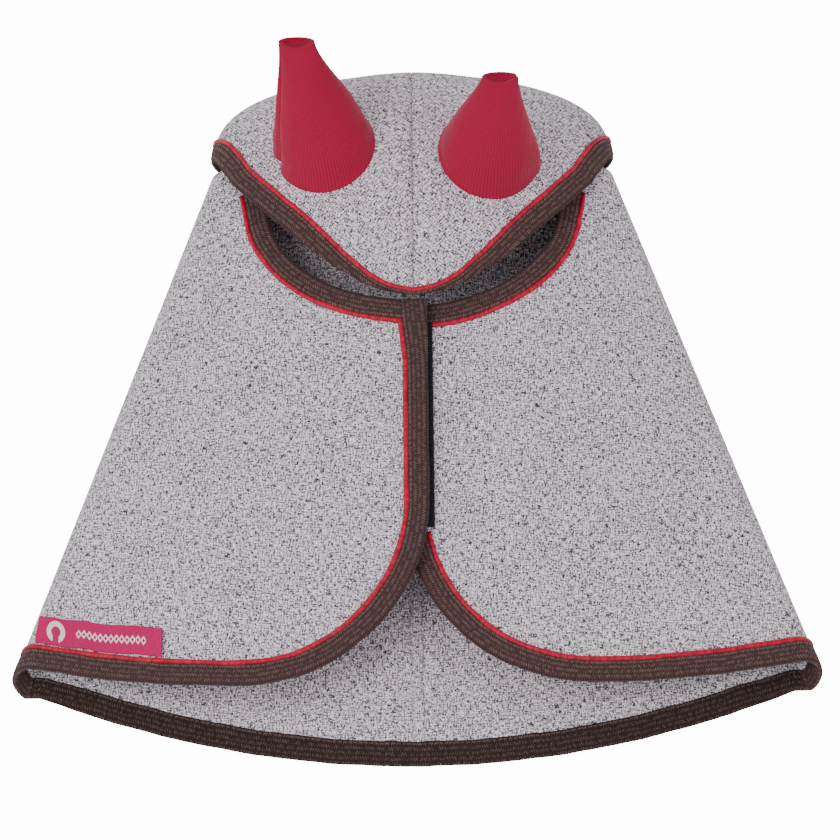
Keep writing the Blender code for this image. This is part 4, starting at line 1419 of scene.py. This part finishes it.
@dataclass(frozen=True)
class Cape:
    """The cape: two front cloths with their trims, and the back with its own.

    bottom_turn is how far round the fold the front's cloth goes, and edge_inset how far the
    cloth ends inside a tape's roll.
    """

    form: SheetForm = FORM
    bottom_turn: float = 0.93 * math.pi
    edge_inset: float = 0.0012
    half_gap: float = 0.0003
    hem_overlap: float = 0.005
    placket_extra: float = 0.0042
    left_cord_top: float = 0.2636
    right_cord_top: float = 0.130
    cord_height: float = 0.0017
    cord_reach: float = 0.356
    strip_top: float = 0.2625
    strip_foot: float = 0.1345
    label_outer: float = 0.2230
    label_rise: float = 0.0160

    def neck_and_top(self) -> Array:
        """The front cloth's finished edge from the shoulder down round the neck's ellipse.

        Returns:
            The flat points.
        """
        f = self.form
        end = math.asin(0.985)
        turn = np.linspace(end, math.asin(-f.lap_half / f.neck_half), 120)
        neck = np.stack([f.neck_half * np.sin(turn), f.neck_y(f.neck_half * np.sin(turn))], axis=1)
        top = np.linspace((0.0955, f.shoulder_y - 0.0005), neck[0], 12)[:-1]
        return np.concatenate([top, neck])

    def placket_and_hem(self, reach: float) -> Array:
        """The front's finished edge down the placket, round the corner and round the fold.

        Args:
            reach: How far past the fold's start it goes.

        Returns:
            The flat points.
        """
        f = self.form
        centre = np.array([f.corner_radius - f.lap_half, f.front_hem + f.corner_radius])
        rise = float(f.neck_y(np.float64(-f.lap_half)))
        placket = np.linspace((-f.lap_half, rise), (-f.lap_half, centre[1]), 60)
        turn = np.linspace(0, math.pi / 2, 60)[1:]
        arc = centre - f.corner_radius * np.stack([np.cos(turn), np.sin(turn)], axis=1)
        start = f.hem_half - f.fold
        u = np.linspace(centre[0], start + reach, 120)[1:]
        share = np.clip((u - start) / (math.pi * f.fold), 0, 1)
        near, far = float(f.front_hem_y(start)), f.back_rise
        leave = math.pi * f.fold * float(f.front_hem_y(start) - f.front_hem_y(start - 1e-4)) / 1e-4
        arrive = -math.pi * f.fold * 2 * f.back_rise / start
        eased = share**2 * (3 - 2 * share)
        round_fold = near + (far - near) * eased
        round_fold += leave * share * (1 - share) ** 2 + arrive * share**2 * (share - 1)
        hem = np.stack([u, np.where(u <= start, f.front_hem_y(u), round_fold)], axis=1)
        return np.concatenate([placket, arc, hem])

    def slant(self, path: Array) -> Array:
        """How far a step up slides outwards, so that trims stay square round the slanted fold.

        Args:
            path: Flat points of a front's edge.

        Returns:
            The slide for each unit upwards.
        """
        f = self.form
        y = path[:, 1]
        slope = (f.half_width(y + 1e-4) - f.half_width(y - 1e-4)) / 2e-4
        turn = np.clip((path[:, 0] - f.half_width(y) + f.fold) / f.fold, 0, math.pi)
        return slope * (1 - np.cos(turn))

    def side_line(self) -> Array:
        """Where front and back cloth meet under the fold, from the hem up.

        Returns:
            The flat points.
        """
        f = self.form
        y = np.linspace(f.back_rise + 0.0009, f.shoulder_y - 0.0005, 60)
        return np.stack([f.half_width(y) - f.fold + self.bottom_turn * f.fold, y], axis=1)

    def front(self, side: Side) -> None:
        """One front cloth with its two tapes and two pipings.

        Args:
            side: The cloth's side.
        """
        f = self.form
        surface = CapeSurface(side)
        lower = loft(self.placket_and_hem(self.bottom_turn * f.fold), self.edge_inset)
        upper = loft(self.neck_and_top(), self.edge_inset)
        upper = upper[upper[:, 0] > lower[0, 0]]
        lower = lower[lower[:, 1] < upper[-1, 1] + 0.0004]
        edge = np.concatenate([upper, lower, self.side_line()[1:]])
        outline = evenly(np.concatenate([edge, edge[:1]]), 0.003)[:-1]
        flat, triangles = fill_outline(outline, 0.0032)
        cloth = cloth_shell(
            f"{side.word}_front_cloth", surface.place(flat), triangles, flat, f.cloth, side.value
        )
        CAPE_CANVAS.onto(cloth)
        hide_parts(f"{side.word}_front_panel")
        HINGES.with_flap(cloth)
        trims = self.front_trims(side, surface)

    def front_trims(self, side: Side, surface: CapeSurface) -> list[bpy.types.Object]:
        """The tapes and pipings on one front cloth's edge.

        Args:
            side: The cloth's side.
            surface: What lays its flat points.

        Returns:
            The four trims.
        """
        f = self.form
        word = side.word
        lapped = side is Side.LEFT
        path = evenly(self.placket_and_hem(math.pi * f.fold + self.hem_overlap), TRIM_STEP)
        on_placket = np.clip((path[:, 1] - path[0, 1] + 0.040) / 0.040, 0, 1) * (path[:, 0] < 0.1)
        wide = f.tape_width + self.placket_extra * on_placket * lapped
        front = edge_trim(surface.place, path, 1, side.value, self.slant)
        wide = np.interp(np.linspace(0, 1, front.stations), np.linspace(0, 1, len(path)), wide)
        tape = front.tape(f"{word}_front_tape", wide, f.cloth)
        (PLACKET_TAPE if lapped else TAPE).onto(tape)
        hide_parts(f"{word}_front_binding")
        first = int(np.argmax(path[:, 1] < (self.left_cord_top if lapped else self.right_cord_top)))
        run = slice(first, -8)
        part = edge_trim(surface.place, path[run], 1, side.value, self.slant)
        seam = f.cord_inset(wide[run])
        seam = np.interp(np.linspace(0, 1, part.stations), np.linspace(0, 1, len(seam)), seam)
        piping = part.piping(f"{word}_front_cord", seam, f.cloth, f.piping_half, self.cord_height)
        SATIN.onto(piping)
        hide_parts(f"{word}_front_piping")
        collar, cord = self.neck_trims(side, surface)
        for trim in (tape, collar):
            HINGES.with_flap(trim)
        for trim in (piping, cord):
            HINGES.with_flap(trim)
        return [tape, piping, collar, cord]

    def neck_trims(self, side: Side, surface: CapeSurface) -> list[bpy.types.Object]:
        """The tape and the piping on one side of the neck opening.

        Each starts where the placket's own trim hides its end, and the piping goes up to where
        the hood covers it.

        Args:
            side: The cloth's side.
            surface: What lays its flat points.

        Returns:
            The two trims.
        """
        f = self.form
        lapped = side is Side.LEFT
        path = self.neck_and_top()
        limit = (0.0135 if lapped else 0.0127) - f.lap_half
        neck = edge_trim(surface.place, path[path[:, 0] > limit], 1, side.value)
        collar = neck.tape(f"{side.word}_neck_tape", f.tape_width, f.cloth)
        TAPE.onto(collar)
        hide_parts(f"{side.word}_neck_binding", f"{side.word}_shoulder_binding")
        path = path[(path[:, 0] > limit + 0.0014 * lapped) & (path[:, 1] < self.cord_reach)]
        round_neck = edge_trim(surface.place, path, 1, side.value)
        inset = f.cord_inset(f.tape_width)
        name = f"{side.word}_neck_cord"
        cord = round_neck.piping(name, inset, f.cloth, f.piping_half, self.cord_height)
        SATIN.onto(cord)
        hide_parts(f"{side.word}_neck_piping")
        return [collar, cord]

    def back(self, side: Side) -> None:
        """One half of the back's cloth.

        Args:
            side: The half's side.
        """
        f = self.form
        indent = f.fold * (1 - math.sin(self.bottom_turn))
        x = np.linspace(self.half_gap, f.hem_half - indent, 90)
        hem = np.stack([x, f.back_hem_y(x) + self.edge_inset], axis=1)
        y = np.linspace(hem[-1, 1], f.shoulder_y + 0.0028, 90)[1:]
        rim = np.stack([f.half_width(y) - indent, y], axis=1)
        seam = np.array([[self.half_gap, y[-1]], [self.half_gap, hem[0, 1]]])
        outline = evenly(np.concatenate([hem, rim, seam]), 0.0032)[:-1]
        flat, triangles = fill_outline(outline, 0.0034)
        z = f.under_z(side.value * flat[:, 0], flat[:, 1])
        points = np.concatenate([flat, z[:, None]], axis=1)
        cloth = cloth_shell(f"{side.word}_back_cloth", points, triangles, flat, f.cloth, side.value)
        LINING.onto(cloth)
        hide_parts(f"{side.word}_back_panel")
        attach(cloth, "cape")

    def back_place(self, q: Array) -> Array:
        """Lays the back's flat points, both halves at once."""
        return np.stack([q[:, 0], q[:, 1], self.form.under_z(q[:, 0], q[:, 1])], axis=1)

    def back_trims(self) -> None:
        """The back hem's tape and piping, and the seam up its middle."""
        f = self.form
        reach = f.hem_half - 0.0022
        x = np.linspace(-reach, reach, 400)
        line = np.stack([x, f.back_hem_y(x)], axis=1)
        hem = edge_trim(self.back_place, line, 1, 1)
        wide = np.linspace(-1, 1, hem.stations)
        wide = f.tape_width + 0.0022 * smooth((1 - np.abs(wide)) / 0.2)
        tape = hem.tape("back_hem_tape", wide, f.cloth, 0.0010)
        # The hem tape's darker finish is painted shade on the same brown binding.
        SHADED_HEM_TAPE.onto(tape)
        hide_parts("back_hem_binding")
        under = edge_trim(self.back_place, line, -1, 1)
        cord = under.piping("back_hem_cord", 0.0167, f.cloth, f.piping_half, 0.0012)
        SATIN.onto(cord)
        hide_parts("back_hem_piping")
        y = np.linspace(0.0150, f.shoulder_y - 0.001, 240)
        ridge = wobble(y, 0.031, 1.0)
        path = np.stack([0.0010 * wobble(y, 0.10, 0.3), y], axis=1)
        seam = Trim(self.seam_placer(path, ridge), len(y), 0.365, -1)
        strip = seam.piping("back_seam", 0.0, f.cloth, 0.0034, 0.0012)
        LINING.onto(strip)
        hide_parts("back_seam_allowance")
        for piece, kind in ((tape, "brown_tape"), (cord, "red_satin"), (strip, "grey_melange")):
            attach(piece, "cape")

    def seam_placer(self, path: Array, ridge: Array) -> Placer:
        """Lays the seam's strip on the back, with a pucker along it.

        Args:
            path: The seam's line.
            ridge: The pucker at each point of the line, from -1 to 1.

        Returns:
            What lays the strip.
        """

        def place(s: Array, d: Array) -> Array:
            """Lays the point beside the seam at each station."""
            at = s.astype(int)
            spot = path[at]
            x = spot[:, 0] + d
            z = self.form.under_z(x, spot[:, 1]) + 0.0005 * (1 + ridge[at])
            return np.stack([x, spot[:, 1], z], axis=1)

        return place

    def fasteners(self) -> None:
        """The hook strip under the left flap and the loop strip on the right one."""
        f = self.form
        for side, name, node, up in (
            (Side.LEFT, "hook_pile", "hook_strip", -1),
            (Side.RIGHT, "loop_pile", "loop_strip", 1),
        ):
            surface = CapeSurface(side)
            y = np.linspace(self.strip_top, self.strip_foot, 80)
            u = np.linspace(-f.lap_half + 0.0006, -f.lap_half + 0.019, 14)
            grid = np.stack(np.meshgrid(u, y), axis=-1).reshape(-1, 2)
            base = surface.place(grid).reshape(80, 14, 3)
            nap = 0.00012 * np.random.default_rng(5).standard_normal(base.shape[:2])
            near = base + np.array([0, 0, up * 0.0023])
            far = base + np.array([0, 0, up * 0.0032]) + nap[..., None] * np.array([0, 0, 1])
            rings = np.concatenate([far, near[:, ::-1]], axis=1)
            uv = rings[..., :2].copy()
            strip = ring_solid(name, rings, uv, side.value)
            PILE.onto(strip)
            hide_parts(node)
            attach(strip, f"{side.word}_flap")

    def label(self) -> None:
        """The woven label over the left side of the front hem, its ends a little curled."""
        surface = CapeSurface(Side.LEFT)
        along = np.linspace(0, LABEL.length, 90)
        across = np.linspace(0, LABEL.width, 24)
        u = self.label_outer - along[:, None] + 0.0 * across[None, :]
        drop = self.form.front_hem_y(u) + self.label_rise + across[None, :]
        wave = 0.0006 * wobble(along, 0.031, 1.9)[:, None]
        flat = np.stack([u, drop + wave], axis=-1)
        base = surface.place(flat.reshape(-1, 2)).reshape(90, 24, 3)
        curl = 0.0012 * smooth((along[:, None] - 0.070) / 0.006)
        curl = curl + 0.0010 * smooth((0.004 - along[:, None]) / 0.004)
        lift = 0.0011 + curl + 0.0004 * (1 + wobble(along, 0.024, 0.4)[:, None])
        near = base + np.array([0, 0, 1]) * (lift - 0.0002)[..., None]
        far = base + np.array([0, 0, 1]) * (lift + 0.0003)[..., None]
        rings = np.concatenate([far, near[:, ::-1]], axis=1)
        place = np.stack(np.broadcast_arrays(along[:, None], across[None, :]), axis=-1)
        uv = np.concatenate([place, place[:, ::-1]], axis=1)
        piece = ring_solid("label", rings, uv, -1)
        LABEL.onto(piece)
        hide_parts("woven_label")
        HINGES.with_flap(piece)

    def build(self) -> None:
        """Makes the cape's pieces, the back first."""
        for side in Side:
            self.back(side)
        self.back_trims()
        for side in Side:
            self.front(side)
        self.fasteners()
        self.label()


@dataclass(frozen=True)
class Hood:
    """The hood: two cloths over the front of the cape, with a V-shaped forehead edge."""

    form: SheetForm = FORM
    surface: HoodSurface = field(default_factory=HoodSurface)
    edge_inset: float = 0.0012
    half_gap: float = 0.0002
    nape_half: float = 0.098
    turned_under: float = 0.0106
    turned_reach: float = 0.080
    cord_height: float = 0.0018

    def place_both(self, q: Array) -> Array:
        """Lays flat points of either side.

        Args:
            q: Flat points, as N rows of x and y.

        Returns:
            N rows of x, y and z.
        """
        sign = np.where(q[:, 0] < 0, -1.0, 1.0)
        laid = self.surface.place(q * np.stack([sign, np.ones(len(q))], axis=1))
        laid[:, 0] *= sign
        return laid

    def face_half(self) -> Array:
        """The hood's finished edge on one side: the V, then round the fold to the nape.

        Returns:
            The flat points.
        """
        f = self.form
        start = f.shoulder_half - f.hood_fold
        x = np.linspace(0, start, 160)
        top = np.stack([x, f.v_edge(x)], axis=1)
        turn = np.linspace(0, math.pi, 60)[1:]
        low = np.where(turn < math.pi / 2, float(f.v_edge(np.float64(start))), f.nape_y)
        y = low + (f.corner_y - low) * np.sin(turn)
        round_fold = np.stack([start + f.hood_fold * turn, y], axis=1)
        path = np.concatenate([top, round_fold])
        return evenly(path, TRIM_STEP)

    def cloths(self) -> None:
        """Both halves of the hood's cloth, each folded under at its rim."""
        f = self.form
        for side in Side:
            face = loft(self.face_half(), self.edge_inset)
            face[0, 0] = self.half_gap
            nape = self.surface.nape_line(f.nape_y, self.nape_half)
            nape = nape[np.argsort(-nape[:, 0])]
            centre = [[self.half_gap, nape[-1, 1]], [self.half_gap, face[0, 1]]]
            path = np.concatenate([face, nape, centre])
            outline = evenly(path, 0.0030)[:-1]
            flat, triangles = fill_outline(outline, 0.0031)
            points = self.surface.place(flat)
            cloth = cloth_shell(f"{side.word}_hood_cloth", points, triangles, flat, f.cloth, side.value)
            HOOD_CANVAS.onto(cloth)
            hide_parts(f"{side.word}_hood_panel", f"{side.word}_forehead_panel")
            HINGES.with_forehead(cloth)
            trims = self.trims() if side is Side.RIGHT else []

    def trims(self) -> list[bpy.types.Object]:
        """The tape and the piping round the whole face edge.

        Returns:
            The two trims.
        """
        f = self.form
        half = self.face_half()[:-8]
        path = np.concatenate([half[:0:-1] * np.array([-1, 1]), half])
        edge = edge_trim(self.place_both, path, 1, 1)
        x = evenly(path, TRIM_STEP)[:, 0]
        turned = self.turned_under * (1 - smooth(np.abs(x) / self.turned_reach))
        tape = edge.tape("face_tape", f.tape_width - turned, f.cloth)
        TAPE.onto(tape)
        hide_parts("forehead_binding", "left_hood_binding", "right_hood_binding")
        inset = f.cord_inset(f.tape_width) - turned
        cord = edge.piping("face_cord", inset, f.cloth, f.piping_half, self.cord_height)
        SATIN.onto(cord)
        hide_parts("forehead_piping", "left_hood_piping", "right_hood_piping")
        for trim in (tape, cord):
            HINGES.with_forehead(trim)
        return [tape, cord]

    def seams(self) -> None:
        """The seam allowance inside the hood, from the forehead's edge round the poll."""
        y = np.linspace(0.284, 0.500, 160)

        def place(s: Array, d: Array) -> Array:
            """Lays the point beside the centre seam at each station."""
            laid = self.place_both(np.stack([0 * s + 0.0004, y[s.astype(int)]], axis=1))
            laid[:, 0] = d
            return laid

        strip = Trim(place, len(y), 0.216, 1).piping("crown_seam", 0.0, self.form.cloth, 0.0034, 0.001)
        LINING.onto(strip)
        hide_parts("crown_seam_allowance", "forehead_seam_allowance")
        HINGES.with_forehead(strip)

    def build(self) -> None:
        """Makes the hood's pieces."""
        self.cloths()
        self.seams()


@dataclass(frozen=True)
class Ear:
    """One knitted ear: a soft cone on the hood, pleated on its outer side, with a flat tip."""

    side: Side
    x: float
    y: float
    back: float
    radius: float = 0.029
    height: float = 0.074
    tip_half: float = 0.0108
    tip_depth: float = 0.0042
    outward: float = 0.0145
    dent: float = 0.0

    def rings(self, rows: int = 90, segments: int = 128) -> Array:
        """Rings from the base on the hood up to the rolled tip, and in to its middle.

        Each ring is an ellipse that goes from a circle to a flat tip, less a pleat's groove,
        and its height follows the hood near the base.

        Args:
            rows: How many rings the cone has below its tip.
            segments: How many points each ring has.

        Returns:
            Rings by points by x, y and z.
        """
        share = np.concatenate([np.linspace(0, 1, rows), np.ones(10)])
        tuck = np.concatenate([np.zeros(rows), np.linspace(0.06, 0.97, 10)])
        turn = np.linspace(0, 2 * math.pi, segments + 1)[:-1]
        s, t = share[:, None], turn[None, :]
        taper = (1 - smooth(s)) ** 0.8
        wide = self.tip_half + (self.radius - self.tip_half) * taper
        deep = self.tip_depth + (self.radius - self.tip_depth) * (0.35 * (1 - s) + 0.65 * taper)
        round_base = 0.0016 * np.exp(-((s / 0.05) ** 2))
        own = 0.0 if self.side is Side.RIGHT else math.pi
        off = (t - own - 0.25 + math.pi) % (2 * math.pi) - math.pi
        pleat = 0.0034 * np.exp(-((off / 0.13) ** 2)) * (1 - 0.7 * s)
        lobe = 0.0030 * np.exp(-(((off + 0.42) / 0.26) ** 2)) * np.exp(-(((s - 0.10) / 0.14) ** 2))
        hollow = (t + 1.35 + math.pi) % (2 * math.pi) - math.pi
        dent = self.dent * np.exp(-((hollow / 0.55) ** 2)) * np.exp(-(((s - 0.46) / 0.16) ** 2))
        waves = 0.0007 * np.sin(3 * t + 4.0 * s + self.x * 50) * np.sin(math.pi * s)
        inset = pleat - lobe + dent - waves - round_base
        shrink = 1 - tuck[:, None]
        lean = self.side.value * self.outward * (1 - 0.8 * taper - 0.2 * (1 - s))
        x = self.x + lean + (wide - inset) * np.cos(t) * shrink
        y = self.y + self.back * s**1.25 + (deep - inset * 0.9) * np.sin(t) * shrink
        level = float(FORM.hood_z(np.float64(abs(self.x)), np.float64(self.y)))
        z = level + self.height * s + 0 * t
        follow = FORM.hood_z(np.clip(np.abs(x), 0.0005, 0.118), np.minimum(y, 0.425)) - level
        z = z + follow * np.clip(1 - s / 0.3, 0, 1) + 0.0002
        bowl = np.cos((x - x[-1:].mean()) / self.tip_half * 1.2)
        rim = 0.0011 * np.sin(math.pi * np.clip(tuck[:, None] / 0.35, 0, 1))
        z = z - 0.0026 * smooth((s - 0.86) / 0.14) * bowl + rim - 0.0022 * smooth(tuck[:, None] / 0.7)
        return np.stack([x, y, z], axis=-1)

    def build(self) -> None:
        """Makes the ear and bakes its transform into its mesh."""
        rings = self.rings()
        mean = (self.radius + self.tip_half) / 2
        turn = np.linspace(0, 2 * math.pi * mean, rings.shape[1])
        rise = np.linspace(0, self.height * 1.25, rings.shape[0])
        uv = np.stack(np.meshgrid(turn, rise), axis=-1)
        cone = ring_solid(f"{self.side.word}_ear_knit", rings, uv)
        EAR_KNIT.onto(cone)
        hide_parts(f"{self.side.word}_ear")
        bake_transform(cone)


# ------------------------------------------------------------------ studio


@dataclass(frozen=True)
class Studio:
    """A pale floor, soft lights and the camera."""

    floor_half: float = 3.0
    floor_z: float = -0.0002
    sky: float = 0.85
    lens: float = 114.0
    tilt: float = math.radians(20)
    heading: float = math.radians(-0.6)
    reach: float = 0.5474
    eye_height: float = 1.5285

    def floor(self) -> None:
        """A wide floor just below the part."""
        uv = self.floor_half * np.array([(-1, -1), (1, -1), (1, 1), (-1, 1)])
        points = np.concatenate([uv, np.full((4, 1), self.floor_z)], axis=1)
        card = add_object("floor", points, [(0, 1, 2, 3)], uv, "flat")
        CARD.onto(card)

    def area(self, name: str, spot: tuple, aim: tuple, size: float, power: float) -> None:
        """One square soft light.

        Args:
            name: The light's name.
            spot: Where it is.
            aim: Where it points.
            size: Its side.
            power: Its power in watts.
        """
        data = bpy.data.lights.new(name, "AREA")
        data.shape = "SQUARE"
        data.size = size
        data.energy = power
        lamp = bpy.data.objects.new(name, data)
        lamp.location = spot
        way = Vector(aim) - Vector(spot)
        lamp.rotation_euler = way.to_track_quat("-Z", "Y").to_euler()
        bpy.context.scene.collection.objects.link(lamp)
        LOG.info("light %s: %.1f W", name, power)

    def world(self) -> None:
        """Even white light from all round."""
        made = bpy.data.worlds.new("studio")
        made.use_nodes = True
        sky = made.node_tree.nodes["Background"]
        sky.inputs["Color"].default_value = (1.0, 1.0, 1.0, 1.0)
        sky.inputs["Strength"].default_value = self.sky
        bpy.context.scene.world = made

    def camera(self) -> None:
        """A long lens above the hem, tilted twenty degrees from straight down."""
        data = bpy.data.cameras.new("camera")
        data.lens = self.lens
        data.sensor_width = 36.0
        data.clip_start = 0.05
        data.clip_end = 20.0
        eye = bpy.data.objects.new("camera", data)
        across = 0.003 + self.reach * math.sin(self.heading)
        along = -0.0142 - self.reach * math.cos(self.heading)
        eye.location = (across, along, self.eye_height)
        eye.rotation_euler = (self.tilt, 0, self.heading)
        bpy.context.scene.collection.objects.link(eye)
        bpy.context.scene.camera = eye

    def build(self) -> None:
        """Sets the floor, lights and camera."""
        self.floor()
        self.world()
        self.area("key", (-0.9, -0.3, 1.5), (0, 0, 0), 0.9, 16.0)
        self.area("fill", (1.1, -0.6, 1.3), (0, 0, 0), 1.2, 5.0)
        self.camera()


def main() -> None:
    """Builds every piece and the studio."""
    logging.basicConfig(level=logging.INFO)
    Cape().build()
    Hood().build()
    Ear(Side.LEFT, -0.053, 0.370, 0.033, dent=0.0030).build()
    Ear(Side.RIGHT, 0.046, 0.364, 0.014, outward=0.0055).build()
    Studio().build()


if __name__ == "__main__":
    main()
